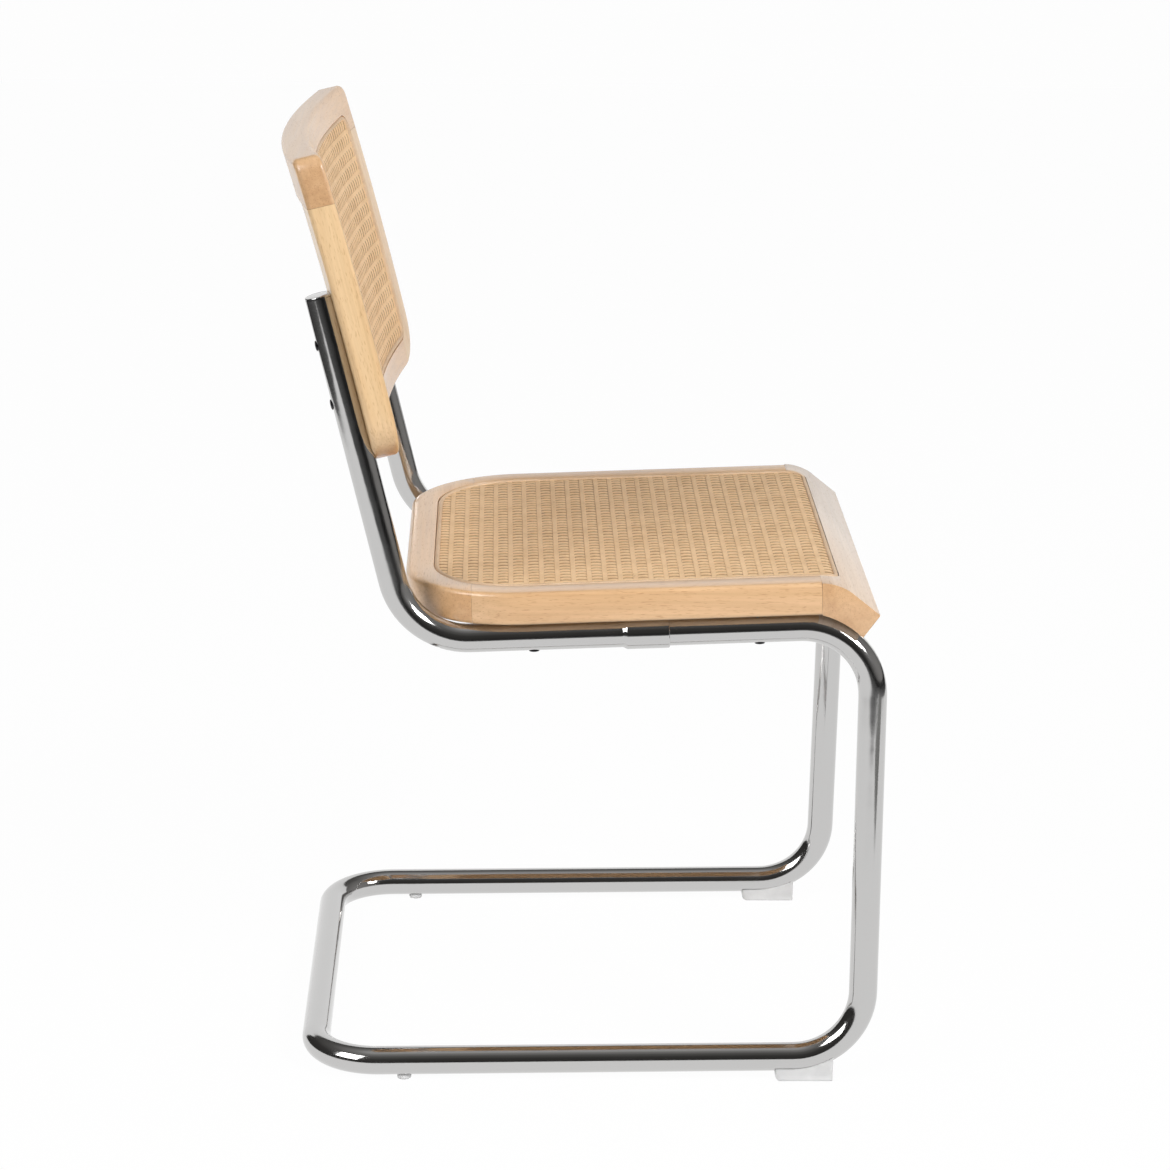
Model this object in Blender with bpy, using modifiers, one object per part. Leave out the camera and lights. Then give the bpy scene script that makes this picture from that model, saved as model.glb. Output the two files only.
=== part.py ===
"""Cantilever dining chair: a chromed steel tube frame that carries a wooden seat and a wooden back,
each with a woven cane panel. The front faces -Y, the floor is z = 0 and lengths are in metres."""

import math

import bmesh
import bpy
from mathutils import Matrix, Vector

# Driving dimensions of the steel tube frame
TUBE_DIAMETER = 0.025
TUBE_WALL = 0.0015
RUNNER_SPACING = 0.435
LEG_FOOT_Y = -0.249
LEG_TOP_AHEAD = 0.0024
LEG_FOOT_HEIGHT = 0.0205
RUNNER_LENGTH = 0.4855
RUNNER_REAR_HEIGHT = 0.0156
SEAT_TUBE_HEIGHT = 0.4119
SEAT_TUBE_DROP = math.radians(2.2)
UPRIGHT_LENGTH = 0.309
UPRIGHT_LEAN = math.radians(13.6)
FRONT_BEND_RADIUS = 0.0615
SEAT_BEND_RADIUS = 0.066
FLOOR_CORNER_RADIUS = 0.058
SOCKET_START = 0.178
SOCKET_LENGTH = 0.036
SOCKET_TAPER = 0.005
SOCKET_CLEARANCE = 0.0004
SPIGOT_LENGTH = 0.034

# Driving dimensions of the seat, measured along and square to the seat tubes
SEAT_WIDTH = 0.4133
SEAT_TUBE_INSET = 0.0184
SEAT_DEPTH = 0.4055
SEAT_OVERHANG = 0.002
SEAT_THICKNESS = 0.029
SEAT_REAR_CORNER = 0.100
FRONT_JOINT = 0.047
REAR_JOINT_INSET = 0.058
NOSE_ROUND = 0.040
NOSE_SLOPE = math.radians(41.0)
NOSE_TIP_HEIGHT = 0.0130
NOSE_UNDERCUT = math.radians(52.0)
NOSE_HOLLOW_RADIUS = 0.078
NOSE_CLEARANCE = 0.001
SEAT_ARRIS = 0.004

# Driving dimensions of the back, measured along and square to the uprights
BACK_PAST_UPRIGHT = 0.02175
BACK_BOTTOM = 0.159
BACK_HEIGHT = 0.269
BACK_THICKNESS = 0.024
BACK_EDGE_OFFSET = 0.014
BACK_TOP_CORNER = 0.012
BACK_BOTTOM_CORNER = 0.041
BACK_RAIL_HEIGHT = 0.042
BACK_BOW = 0.022
BACK_CURVE_START = 0.220
BACK_CURVE_RADIUS = 4.000
BACK_ARRIS = 0.0065

# Driving dimensions of the cane panels, which a round spline holds in a groove
RIM_WIDTH = 0.0245
GROOVE_WIDTH = 0.005
LIP_WIDTH = 0.0085
FRONT_LIP_WIDTH = 0.013
CANE_THICKNESS = 0.0024
CANE_FRONT_CORNER = 0.015
SPLINE_PROUD = 0.0005

# Driving dimensions of the fasteners, dowels, caps and glides
BOLT_DIAMETER = 0.006
BOLT_HEAD_DIAMETER = 0.009
BOLT_HEAD_HEIGHT = 0.0010
INSERT_DIAMETER = 0.010
INSERT_LENGTH = 0.013
DRILL_SPARE = 0.0015
SEAT_FRONT_BOLT = 0.100
SEAT_REAR_BOLT = 0.295
BACK_LOWER_BOLT = 0.217
BACK_UPPER_BOLT = 0.269
DOWEL_DIAMETER = 0.008
DOWEL_LENGTH = 0.036
DOWEL_SPACING = 0.018
CAP_THICKNESS = 0.002
CAP_PLUG_LENGTH = 0.010
FRONT_GLIDE_LENGTH = 0.051
FRONT_GLIDE_WIDTH = 0.020
FRONT_GLIDE_SETBACK = 0.0255
FRONT_GLIDE_ROUND = 0.005
FRONT_PEG_INSET = 0.01275
GLIDE_PEG_DIAMETER = 0.006
GLIDE_PEG_LENGTH = 0.006
REAR_GLIDE_DIAMETER = 0.0125
REAR_GLIDE_PLACE = 0.405

# Clearance between pieces that touch, and the fineness of round shapes
GAP = 0.0003
OVERCUT = 0.010
TUBE_RESOLUTION = 6
BEND_STEPS = 6
CORNER_STEPS = 8
SPLINE_RUN = 0.020
TURN_STEPS = 16
WELD = 0.00001

# Sizes that follow from the driving dimensions
TUBE_RADIUS = TUBE_DIAMETER / 2
SEAT_TUBE_LENGTH = SEAT_DEPTH - SEAT_OVERHANG
SEAT_TUBE_SPACING = SEAT_WIDTH - 2 * SEAT_TUBE_INSET
BACK_WIDTH = SEAT_TUBE_SPACING + 2 * BACK_PAST_UPRIGHT
SOCKET_RADIUS = TUBE_RADIUS + SOCKET_CLEARANCE + TUBE_WALL
SEAT_BOTTOM = SOCKET_RADIUS + GAP
SEAT_TOP = SEAT_BOTTOM + SEAT_THICKNESS
GROOVE_DEPTH = GROOVE_WIDTH - GAP - SPLINE_PROUD
LIP_DROP = CANE_THICKNESS + 2 * GAP
SPLINE_RADIUS = GROOVE_WIDTH / 2 - GAP
RAIL_WIDTH = RIM_WIDTH + GROOVE_WIDTH + LIP_WIDTH
BACK_TOP = BACK_BOTTOM + BACK_HEIGHT
BACK_FRONT = -(BACK_EDGE_OFFSET + BACK_THICKNESS)
REAR_JOINT = SEAT_DEPTH - REAR_JOINT_INSET
SIDES = (("left", 1), ("right", -1))

# An empty scene, with one collection for the parts and one for the cutters
for old in list(bpy.data.objects):
    bpy.data.objects.remove(old)
chair = bpy.data.collections.new("rattan_dining_chair")
cutters = bpy.data.collections.new("cutters")
for collection in (chair, cutters):
    bpy.context.scene.collection.children.link(collection)


def material(name, colour, roughness, metallic):
    """A plain material for one kind of piece."""
    made = bpy.data.materials.new(name)
    made.use_nodes = True
    shader = made.node_tree.nodes["Principled BSDF"]
    shader.inputs["Base Color"].default_value = (*colour, 1)
    shader.inputs["Roughness"].default_value = roughness
    shader.inputs["Metallic"].default_value = metallic
    return made


CHROME = material("chrome", (0.78, 0.79, 0.80), 0.08, 1.0)
WOOD = material("natural_wood", (0.72, 0.50, 0.30), 0.45, 0.0)
CANE = material("woven_cane", (0.62, 0.44, 0.25), 0.60, 0.0)
REED = material("reed_spline", (0.66, 0.50, 0.31), 0.55, 0.0)
STEEL = material("dark_steel", (0.10, 0.10, 0.11), 0.40, 1.0)
ZINC = material("zinc_insert", (0.60, 0.58, 0.50), 0.35, 1.0)
PLASTIC = material("clear_plastic", (0.80, 0.81, 0.82), 0.35, 0.0)


def frame(name, location, lean):
    """An empty that carries the pieces of the seat or of the back."""
    empty = bpy.data.objects.new(name, None)
    empty.location = location
    empty.rotation_euler = (lean, 0, 0)
    chair.objects.link(empty)
    return empty


# The seat frame's axes start where the seat tubes meet the legs, the back's where the uprights start
LEG_TOP_Y = LEG_FOOT_Y - LEG_TOP_AHEAD
UPRIGHT_Y = LEG_TOP_Y + SEAT_TUBE_LENGTH * math.cos(SEAT_TUBE_DROP)
UPRIGHT_Z = SEAT_TUBE_HEIGHT - SEAT_TUBE_LENGTH * math.sin(SEAT_TUBE_DROP)
seat_axes = frame("seat_axes", (0, LEG_TOP_Y, SEAT_TUBE_HEIGHT), -SEAT_TUBE_DROP)
back_axes = frame("back_axes", (0, UPRIGHT_Y, UPRIGHT_Z), -UPRIGHT_LEAN)
bpy.context.view_layer.update()


def add_object(name, mesh, skin=None, parent=None):
    """A part, or a cutter where no material is given."""
    made = bpy.data.objects.new(name, mesh)
    made.parent = parent
    if skin:
        mesh.materials.append(skin)
        chair.objects.link(made)
    else:
        made.hide_render = True
        made.display_type = "WIRE"
        cutters.objects.link(made)
    bpy.context.view_layer.update()
    return made


def evaluated_mesh(source):
    """The mesh of an object with its modifiers applied and doubled points welded."""
    bpy.context.view_layer.update()
    mesh = bpy.data.meshes.new_from_object(source.evaluated_get(bpy.context.evaluated_depsgraph_get()))
    bm = bmesh.new()
    bm.from_mesh(mesh)
    bmesh.ops.remove_doubles(bm, verts=bm.verts, dist=WELD)
    bmesh.ops.recalc_face_normals(bm, faces=bm.faces)
    bm.to_mesh(mesh)
    bm.free()
    return mesh


def take_mesh(source):
    """The evaluated mesh of a helper object, which is then removed."""
    mesh = evaluated_mesh(source)
    bpy.data.objects.remove(source)
    return mesh


def smooth(mesh):
    """Smooth shading with sharp edges kept."""
    mesh.shade_smooth()
    mesh.set_sharp_from_angle(angle=math.radians(35))


def boolean(target, cutter, operation="DIFFERENCE"):
    """A cut, or a trim or union, that stays on the object."""
    step = target.modifiers.new(cutter.name, "BOOLEAN")
    step.object = cutter
    step.operation = operation
    step.solver = "EXACT"


def block(name, low, high, parent=None):
    """A box cutter between two corners."""
    mesh = bpy.data.meshes.new(name)
    bm = bmesh.new()
    bmesh.ops.create_cube(bm, size=1)
    size = Vector(high) - Vector(low)
    bmesh.ops.scale(bm, vec=size, verts=bm.verts)
    bmesh.ops.translate(bm, vec=Vector(low) + size / 2, verts=bm.verts)
    bm.to_mesh(mesh)
    bm.free()
    return add_object(name, mesh, parent=parent)


def rod(name, start, end, radius, skin=None, parent=None):
    """A straight round rod between two points, as a dowel or as a drill."""
    start = Vector(start)
    run = Vector(end) - start
    turn = run.to_track_quat("Z", "Y").to_matrix().to_4x4()
    mesh = bpy.data.meshes.new(name)
    bm = bmesh.new()
    place = Matrix.Translation(start + run / 2) @ turn
    bmesh.ops.create_cone(bm, cap_ends=True, segments=TURN_STEPS, radius1=radius, radius2=radius,
                          depth=run.length, matrix=place)
    bm.to_mesh(mesh)
    bm.free()
    smooth(mesh)
    return add_object(name, mesh, skin, parent)


def turned(name, profile, closed, skin, parent, place):
    """A turned piece: the profile (radius, height) runs down its outer side."""
    mesh = bpy.data.meshes.new(name)
    bm = bmesh.new()
    points = [bm.verts.new((radius, 0, height)) for radius, height in profile]
    for first, second in zip(points, points[1:]):
        bm.edges.new((first, second))
    if closed:
        bm.edges.new((points[-1], points[0]))
    bm.to_mesh(mesh)
    bm.free()
    helper = add_object(name + "_profile", mesh)
    screw = helper.modifiers.new("turn", "SCREW")
    screw.steps = TURN_STEPS
    screw.render_steps = TURN_STEPS
    screw.use_merge_vertices = True
    screw.merge_threshold = WELD
    solid = take_mesh(helper)
    solid.name = name
    solid.transform(place)
    smooth(solid)
    return add_object(name, solid, skin, parent)


def fillet(corners, radii, steps):
    """A path through the corners, with each inner corner rounded to its radius."""
    path = [Vector(corners[0])]
    for before, corner, after, radius in zip(corners, corners[1:], corners[2:], radii):
        corner = Vector(corner)
        back = (Vector(before) - corner).normalized()
        ahead = (Vector(after) - corner).normalized()
        opening = back.angle(ahead)
        start = corner + back * (radius / math.tan(opening / 2))
        middle = corner + (back + ahead).normalized() * (radius / math.sin(opening / 2))
        arm = start - middle
        side = -back * radius
        sweep = math.pi - opening
        for step in range(steps + 1):
            angle = sweep * step / steps
            path.append(middle + arm * math.cos(angle) + side * math.sin(angle))
    path.append(Vector(corners[-1]))
    return path


def rounded_outline(corners, steps=CORNER_STEPS):
    """A closed flat outline from corners (u, v, radius), where a radius of zero stays sharp."""
    outline = []
    count = len(corners)
    for index, (u, v, radius) in enumerate(corners):
        if radius == 0:
            outline.append(Vector((u, v, 0)))
            continue
        before = Vector((*corners[index - 1][:2], 0))
        after = Vector((*corners[(index + 1) % count][:2], 0))
        outline += fillet([before, (u, v, 0), after], [radius], steps)[1:-1]
    return outline


def split_runs(outline, longest):
    """A closed outline with its straight runs split, so that it can follow a bend."""
    split = []
    for first, second in zip(outline, outline[1:] + outline[:1]):
        pieces = math.ceil((second - first).length / longest)
        split += [first.lerp(second, step / pieces) for step in range(pieces)]
    return split


def pipe_mesh(name, path, radius, scales=None, caps=False, cyclic=False, resolution=TUBE_RESOLUTION):
    """The mesh of a round tube, open or capped, along a path."""
    curve = bpy.data.curves.new(name, "CURVE")
    curve.dimensions = "3D"
    curve.bevel_depth = radius
    curve.bevel_resolution = resolution
    curve.use_fill_caps = caps
    spline = curve.splines.new("POLY")
    spline.points.add(len(path) - 1)
    for index, point in enumerate(path):
        spline.points[index].co = (*point, 1)
        spline.points[index].radius = scales[index] if scales else 1
    spline.use_cyclic_u = cyclic
    helper = bpy.data.objects.new(name + "_path", curve)
    cutters.objects.link(helper)
    mesh = take_mesh(helper)
    mesh.name = name
    smooth(mesh)
    return mesh


def slab_mesh(name, outlines, thickness, arris, place):
    """A flat slab with rounded edges from its outline and any holes, centred on its own plane."""
    curve = bpy.data.curves.new(name, "CURVE")
    curve.dimensions = "2D"
    curve.fill_mode = "BOTH"
    curve.extrude = thickness / 2 - arris
    curve.bevel_depth = arris
    curve.bevel_resolution = 1
    curve.offset = -arris
    for outline in outlines:
        spline = curve.splines.new("POLY")
        spline.points.add(len(outline) - 1)
        for index, point in enumerate(outline):
            spline.points[index].co = (*point, 1)
        spline.use_cyclic_u = True
    helper = bpy.data.objects.new(name + "_outline", curve)
    cutters.objects.link(helper)
    mesh = take_mesh(helper)
    mesh.name = name
    mesh.transform(place)
    return mesh


def bend(mesh, planes, shift):
    """Slice a flat mesh at planes (point, normal), then move each point by the shift at it."""
    bm = bmesh.new()
    bm.from_mesh(mesh)
    for point, normal in planes:
        everything = bm.verts[:] + bm.edges[:] + bm.faces[:]
        bmesh.ops.bisect_plane(bm, geom=everything, dist=WELD, plane_co=point, plane_no=normal)
    bmesh.ops.triangulate(bm, faces=bm.faces)
    for vert in bm.verts:
        vert.co += shift(vert.co)
    bm.to_mesh(mesh)
    bm.free()
    smooth(mesh)


# Base tube: seat-tube fronts, front legs, floor runners and rear cross tube bent from one length.
# One half is made, mirrored across the chair's middle, and given its wall.
def seat_point(x, along, up=0.0):
    """A world point given along and square to a seat tube."""
    return seat_axes.matrix_world @ Vector((x, along, up))


HALF_SEAT_TUBES = SEAT_TUBE_SPACING / 2
HALF_RUNNERS = RUNNER_SPACING / 2
SPIGOT_END = SOCKET_START + SPIGOT_LENGTH
RUNNER_REAR_Y = LEG_FOOT_Y + RUNNER_LENGTH
base_path = fillet(
    [
        seat_point(HALF_SEAT_TUBES, SPIGOT_END),
        seat_point(HALF_SEAT_TUBES, 0),
        (HALF_RUNNERS, LEG_FOOT_Y, LEG_FOOT_HEIGHT),
        (HALF_RUNNERS, RUNNER_REAR_Y, RUNNER_REAR_HEIGHT),
        (0, RUNNER_REAR_Y, RUNNER_REAR_HEIGHT),
    ],
    [FRONT_BEND_RADIUS, FRONT_BEND_RADIUS, FLOOR_CORNER_RADIUS],
    BEND_STEPS,
)
base_tube = add_object("base_tube", pipe_mesh("base_tube", base_path, TUBE_RADIUS), CHROME)
mirror = base_tube.modifiers.new("other_half", "MIRROR")
mirror.use_clip = True
mirror.merge_threshold = WELD
wall = base_tube.modifiers.new("wall", "SOLIDIFY")
wall.thickness = TUBE_WALL
wall.offset = -1

# Upper tubes: rear half of a seat tube and an upright, with a widened socket that takes the spigot
SOCKET_SCALE = SOCKET_RADIUS / TUBE_RADIUS
socket_stations = (
    (SOCKET_START, SOCKET_SCALE),
    (SOCKET_START + SOCKET_LENGTH, SOCKET_SCALE),
    (SOCKET_START + SOCKET_LENGTH + SOCKET_TAPER, 1),
)
UPRIGHT_TOP = back_axes.matrix_world @ Vector((0, 0, UPRIGHT_LENGTH))
upper_tubes = {}
for side, sign in SIDES:
    x = sign * HALF_SEAT_TUBES
    top = Vector((x, UPRIGHT_TOP.y, UPRIGHT_TOP.z))
    bent = fillet([seat_point(x, station) for station in (SOCKET_START, SEAT_TUBE_LENGTH)] + [top],
                  [SEAT_BEND_RADIUS], BEND_STEPS)
    path = [seat_point(x, station) for station, _ in socket_stations] + bent[1:]
    scales = [scale for _, scale in socket_stations] + [1] * (len(bent) - 1)
    name = side + "_upper_tube"
    tube = add_object(name, pipe_mesh(name, path, TUBE_RADIUS, scales), CHROME)
    wall = tube.modifiers.new("wall", "SOLIDIFY")
    wall.thickness = TUBE_WALL
    wall.offset = -1
    upper_tubes[side] = tube

# End caps: a disc on the open end of each upright with a plug inside the tube
PLUG_RADIUS = TUBE_RADIUS * math.cos(math.pi / TURN_STEPS) - TUBE_WALL - GAP
for side, sign in SIDES:
    seat_of_cap = UPRIGHT_LENGTH + GAP
    cap_profile = (
        (0, seat_of_cap + CAP_THICKNESS),
        (TUBE_RADIUS, seat_of_cap + CAP_THICKNESS),
        (TUBE_RADIUS, seat_of_cap),
        (PLUG_RADIUS, seat_of_cap),
        (PLUG_RADIUS, seat_of_cap - CAP_PLUG_LENGTH),
        (0, seat_of_cap - CAP_PLUG_LENGTH),
    )
    turned(side + "_end_cap", cap_profile, False, CHROME, back_axes,
           Matrix.Translation((sign * HALF_SEAT_TUBES, 0, 0)))

# Glides: a plastic block under the front of each runner and a round button near its rear, each
# with a peg in a hole in the tube
RUNNER_RISE = (RUNNER_REAR_HEIGHT - LEG_FOOT_HEIGHT) / RUNNER_LENGTH
PEG_RADIUS = GLIDE_PEG_DIAMETER / 2
FRONT_PEG_PLACE = FRONT_GLIDE_SETBACK + FRONT_GLIDE_LENGTH - FRONT_PEG_INSET
tube_room = add_object("tube_room", pipe_mesh("tube_room", base_path, TUBE_RADIUS + GAP, caps=True))


def runner_height(setback):
    """Height of a runner's axis at a distance behind the leg."""
    return LEG_FOOT_HEIGHT + RUNNER_RISE * setback


for side, sign in SIDES:
    x = sign * HALF_RUNNERS
    front_y = LEG_FOOT_Y + FRONT_GLIDE_SETBACK
    name = side + "_front_glide"
    mesh = bpy.data.meshes.new(name)
    bm = bmesh.new()
    bmesh.ops.create_cube(bm, size=1)
    height = LEG_FOOT_HEIGHT
    bmesh.ops.scale(bm, vec=(FRONT_GLIDE_WIDTH, FRONT_GLIDE_LENGTH, height), verts=bm.verts)
    middle = (x, front_y + FRONT_GLIDE_LENGTH / 2, height / 2)
    bmesh.ops.translate(bm, vec=middle, verts=bm.verts)
    rear_bottom = [edge for edge in bm.edges
                   if all(vert.co.z < WELD and vert.co.y > middle[1] for vert in edge.verts)]
    bmesh.ops.bevel(bm, geom=rear_bottom, offset=FRONT_GLIDE_ROUND, segments=4, profile=0.5,
                    affect="EDGES", material=-1)
    bm.to_mesh(mesh)
    bm.free()
    smooth(mesh)
    glide = add_object(name, mesh, PLASTIC)
    room = tube_room
    if sign < 0:
        room = add_object("tube_room_mirrored", tube_room.data.copy())
        room.data.transform(Matrix.Scale(-1, 4, (1, 0, 0)))
        room.data.flip_normals()
    boolean(glide, room)
    peg_y = LEG_FOOT_Y + FRONT_PEG_PLACE
    tube_bottom = runner_height(FRONT_PEG_PLACE) - TUBE_RADIUS
    peg = rod(side + "_glide_peg", (x, peg_y, tube_bottom / 2),
              (x, peg_y, tube_bottom + GLIDE_PEG_LENGTH), PEG_RADIUS)
    boolean(glide, peg, "UNION")
    boolean(base_tube, rod(side + "_front_peg_hole", (x, peg_y, tube_bottom - OVERCUT),
                           (x, peg_y, tube_bottom + GLIDE_PEG_LENGTH), PEG_RADIUS + GAP))
    button_y = LEG_FOOT_Y + REAR_GLIDE_PLACE
    tube_bottom = runner_height(REAR_GLIDE_PLACE) - TUBE_RADIUS
    button_profile = (
        (0, tube_bottom + GLIDE_PEG_LENGTH),
        (PEG_RADIUS, tube_bottom + GLIDE_PEG_LENGTH),
        (PEG_RADIUS, tube_bottom - GAP),
        (REAR_GLIDE_DIAMETER / 2, tube_bottom - GAP),
        (REAR_GLIDE_DIAMETER / 2, 0),
        (0, 0),
    )
    turned(side + "_rear_glide", button_profile, False, PLASTIC, None,
           Matrix.Translation((x, button_y, 0)))
    boolean(base_tube, rod(side + "_rear_peg_hole", (x, button_y, tube_bottom - OVERCUT),
                           (x, button_y, tube_bottom + GLIDE_PEG_LENGTH), PEG_RADIUS + GAP))

# Seat frame: a front rail with a sloping nose, two side rails and a rear rail with round corners.
# The three straight-topped rails are trimmed from one U-shaped slab, so that their edges run through.
HALF_SEAT = SEAT_WIDTH / 2
SEAT_MIDDLE = SEAT_BOTTOM + SEAT_THICKNESS / 2
INNER_HALF_SEAT = HALF_SEAT - RAIL_WIDTH
INNER_SEAT_DEPTH = SEAT_DEPTH - RAIL_WIDTH
INNER_SEAT_CORNER = SEAT_REAR_CORNER - RAIL_WIDTH
ALONG_X = Matrix(((0, 0, 1, 0), (1, 0, 0, 0), (0, 1, 0, 0), (0, 0, 0, 1)))


def nose_drop(along):
    """How far the seat's top surface has fallen at a place on the front rail."""
    reach = max(0.0, FRONT_JOINT - along)
    return NOSE_ROUND - math.sqrt(NOSE_ROUND ** 2 - reach ** 2)


def follow_nose(point):
    """Shift that lays a flat seat piece over the front rail's rounded top."""
    return Vector((0, 0, -nose_drop(point.y)))


u_outline = rounded_outline([
    (HALF_SEAT, 0, 0),
    (HALF_SEAT, SEAT_DEPTH, SEAT_REAR_CORNER),
    (-HALF_SEAT, SEAT_DEPTH, SEAT_REAR_CORNER),
    (-HALF_SEAT, 0, 0),
    (-INNER_HALF_SEAT, 0, 0),
    (-INNER_HALF_SEAT, INNER_SEAT_DEPTH, INNER_SEAT_CORNER),
    (INNER_HALF_SEAT, INNER_SEAT_DEPTH, INNER_SEAT_CORNER),
    (INNER_HALF_SEAT, 0, 0),
])
u_slab = slab_mesh("seat_u", [u_outline], SEAT_THICKNESS, SEAT_ARRIS,
                   Matrix.Translation((0, 0, SEAT_MIDDLE)))
far = SEAT_WIDTH
trims = {
    "seat_rear_rail": ((-far, REAR_JOINT, -far), (far, far + SEAT_DEPTH, far)),
    "left_seat_rail": ((0, FRONT_JOINT, -far), (far, REAR_JOINT - GAP, far)),
    "right_seat_rail": ((-far, FRONT_JOINT, -far), (0, REAR_JOINT - GAP, far)),
}
seat_rails = {}
for name, (low, high) in trims.items():
    rail = add_object(name, u_slab.copy(), WOOD, seat_axes)
    boolean(rail, block(name + "_trim", low, high, seat_axes), "INTERSECT")
    seat_rails[name] = rail

# Nose profile, along and up: top, slope to the tip, undercut, and a hollow over the tube's bend
bend_reach = FRONT_BEND_RADIUS / math.tan((math.pi / 2 - SEAT_TUBE_DROP) / 2)
nose_corner = FRONT_JOINT - NOSE_ROUND * math.tan(NOSE_SLOPE / 2)
nose_tip = nose_corner - (SEAT_TOP - NOSE_TIP_HEIGHT) / math.tan(NOSE_SLOPE)
bend_middle = Vector((bend_reach, -FRONT_BEND_RADIUS))
undercut = Vector((math.cos(NOSE_UNDERCUT), -math.sin(NOSE_UNDERCUT)))
tip = Vector((nose_tip, NOSE_TIP_HEIGHT))
to_tip = tip - bend_middle
reach = FRONT_BEND_RADIUS + TUBE_RADIUS + NOSE_CLEARANCE
half_way = to_tip.dot(undercut)
low_point = tip + undercut * (-half_way - math.sqrt(half_way ** 2 - to_tip.length_squared + reach ** 2))
joint_foot = Vector((FRONT_JOINT - GAP, SEAT_BOTTOM))
chord = joint_foot - low_point
hollow_depth = math.sqrt(NOSE_HOLLOW_RADIUS ** 2 - (chord.length / 2) ** 2)
hollow_middle = low_point + chord / 2 + Vector((chord.y, -chord.x)).normalized() * hollow_depth
from_joint = joint_foot - hollow_middle
to_low_point = low_point - hollow_middle
first_angle = math.atan2(from_joint.x, from_joint.y)
last_angle = math.atan2(to_low_point.x, to_low_point.y)
nose_outline = [
    Vector((nose_tip, NOSE_TIP_HEIGHT, 0)),
    *fillet([(nose_tip, NOSE_TIP_HEIGHT, 0), (nose_corner, SEAT_TOP, 0), (FRONT_JOINT, SEAT_TOP, 0)],
            [NOSE_ROUND], CORNER_STEPS)[1:-2],
    Vector((FRONT_JOINT - GAP, SEAT_TOP, 0)),
]
for step in range(CORNER_STEPS + 1):
    angle = first_angle + (last_angle - first_angle) * step / CORNER_STEPS
    on_arc = hollow_middle + NOSE_HOLLOW_RADIUS * Vector((math.sin(angle), math.cos(angle)))
    nose_outline.append(Vector((*on_arc, 0)))
front_rail = add_object(
    "seat_front_rail",
    slab_mesh("seat_front_rail", [nose_outline], SEAT_WIDTH, 0, ALONG_X),
    WOOD,
    seat_axes,
)
smooth(front_rail.data)
seat_rails["seat_front_rail"] = front_rail

# Seat groove, with a lowered lip inside it that the cane lies on
CANE_FRONT = FRONT_JOINT - FRONT_LIP_WIDTH - GROOVE_WIDTH


def seat_panel_outline(inset):
    """Outline of the cane's field, drawn in from the outer wall of the groove."""
    side_x = HALF_SEAT - RIM_WIDTH - inset
    rear_y = SEAT_DEPTH - RIM_WIDTH - inset
    rear_corner = SEAT_REAR_CORNER - RIM_WIDTH - inset
    front_corner = CANE_FRONT_CORNER - inset
    return rounded_outline([
        (side_x, CANE_FRONT + inset, front_corner),
        (side_x, rear_y, rear_corner),
        (-side_x, rear_y, rear_corner),
        (-side_x, CANE_FRONT + inset, front_corner),
    ])


NOSE_SLICES = 4
nose_planes = []
for step in range(NOSE_SLICES):
    along = FRONT_JOINT - (FRONT_JOINT - CANE_FRONT) * step / NOSE_SLICES
    nose_planes.append((Vector((0, along, 0)), Vector((0, 1, 0))))
groove_height = GROOVE_DEPTH + OVERCUT
groove = slab_mesh("seat_groove", [seat_panel_outline(0), seat_panel_outline(GROOVE_WIDTH)],
                   groove_height, 0,
                   Matrix.Translation((0, 0, SEAT_TOP - GROOVE_DEPTH + groove_height / 2)))
lip_height = LIP_DROP + OVERCUT
lip = slab_mesh("seat_lip", [seat_panel_outline(GROOVE_WIDTH / 2)], lip_height, 0,
                Matrix.Translation((0, 0, SEAT_TOP - LIP_DROP + lip_height / 2)))
for cut_mesh in (groove, lip):
    bend(cut_mesh, nose_planes, follow_nose)
    cutter = add_object(cut_mesh.name, cut_mesh, parent=seat_axes)
    for rail in seat_rails.values():
        boolean(rail, cutter)

# Seat cane, and the spline that holds its edge down in the groove
cane_mesh = slab_mesh("seat_cane", [seat_panel_outline(GROOVE_WIDTH)], CANE_THICKNESS, 0,
                      Matrix.Translation((0, 0, SEAT_TOP - GAP - CANE_THICKNESS / 2)))
bend(cane_mesh, nose_planes, follow_nose)
add_object("seat_cane", cane_mesh, CANE, seat_axes)
SPLINE_LEVEL = SEAT_TOP + SPLINE_PROUD - SPLINE_RADIUS
spline_path = [point + Vector((0, 0, SPLINE_LEVEL)) + follow_nose(point)
               for point in seat_panel_outline(GROOVE_WIDTH / 2)]
spline_mesh = pipe_mesh("seat_spline", spline_path, SPLINE_RADIUS, cyclic=True, resolution=2)
add_object("seat_spline", spline_mesh, REED, seat_axes)

# Seat dowels: two at each front joint and one at each rear joint, through both pieces
DOWEL_RADIUS = DOWEL_DIAMETER / 2
FRONT_DOWEL_X = HALF_SEAT - RAIL_WIDTH / 2
REAR_DOWEL_X = (INNER_HALF_SEAT - INNER_SEAT_CORNER + HALF_SEAT - SEAT_REAR_CORNER) / 2 + math.sqrt(
    ((SEAT_REAR_CORNER + INNER_SEAT_CORNER) / 2) ** 2 - (SEAT_REAR_CORNER - REAR_JOINT_INSET) ** 2)


def dowel(name, middle, direction, parent, pieces):
    """A dowel across a joint, and its hole in both pieces."""
    reach = Vector(direction) * (DOWEL_LENGTH / 2)
    hole_reach = Vector(direction) * (DOWEL_LENGTH / 2 + GAP)
    hole = rod(name + "_hole", Vector(middle) - hole_reach, Vector(middle) + hole_reach,
               DOWEL_RADIUS + GAP, parent=parent)
    for piece in pieces:
        boolean(piece, hole)
    rod(name, Vector(middle) - reach, Vector(middle) + reach, DOWEL_RADIUS, WOOD, parent)


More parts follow.
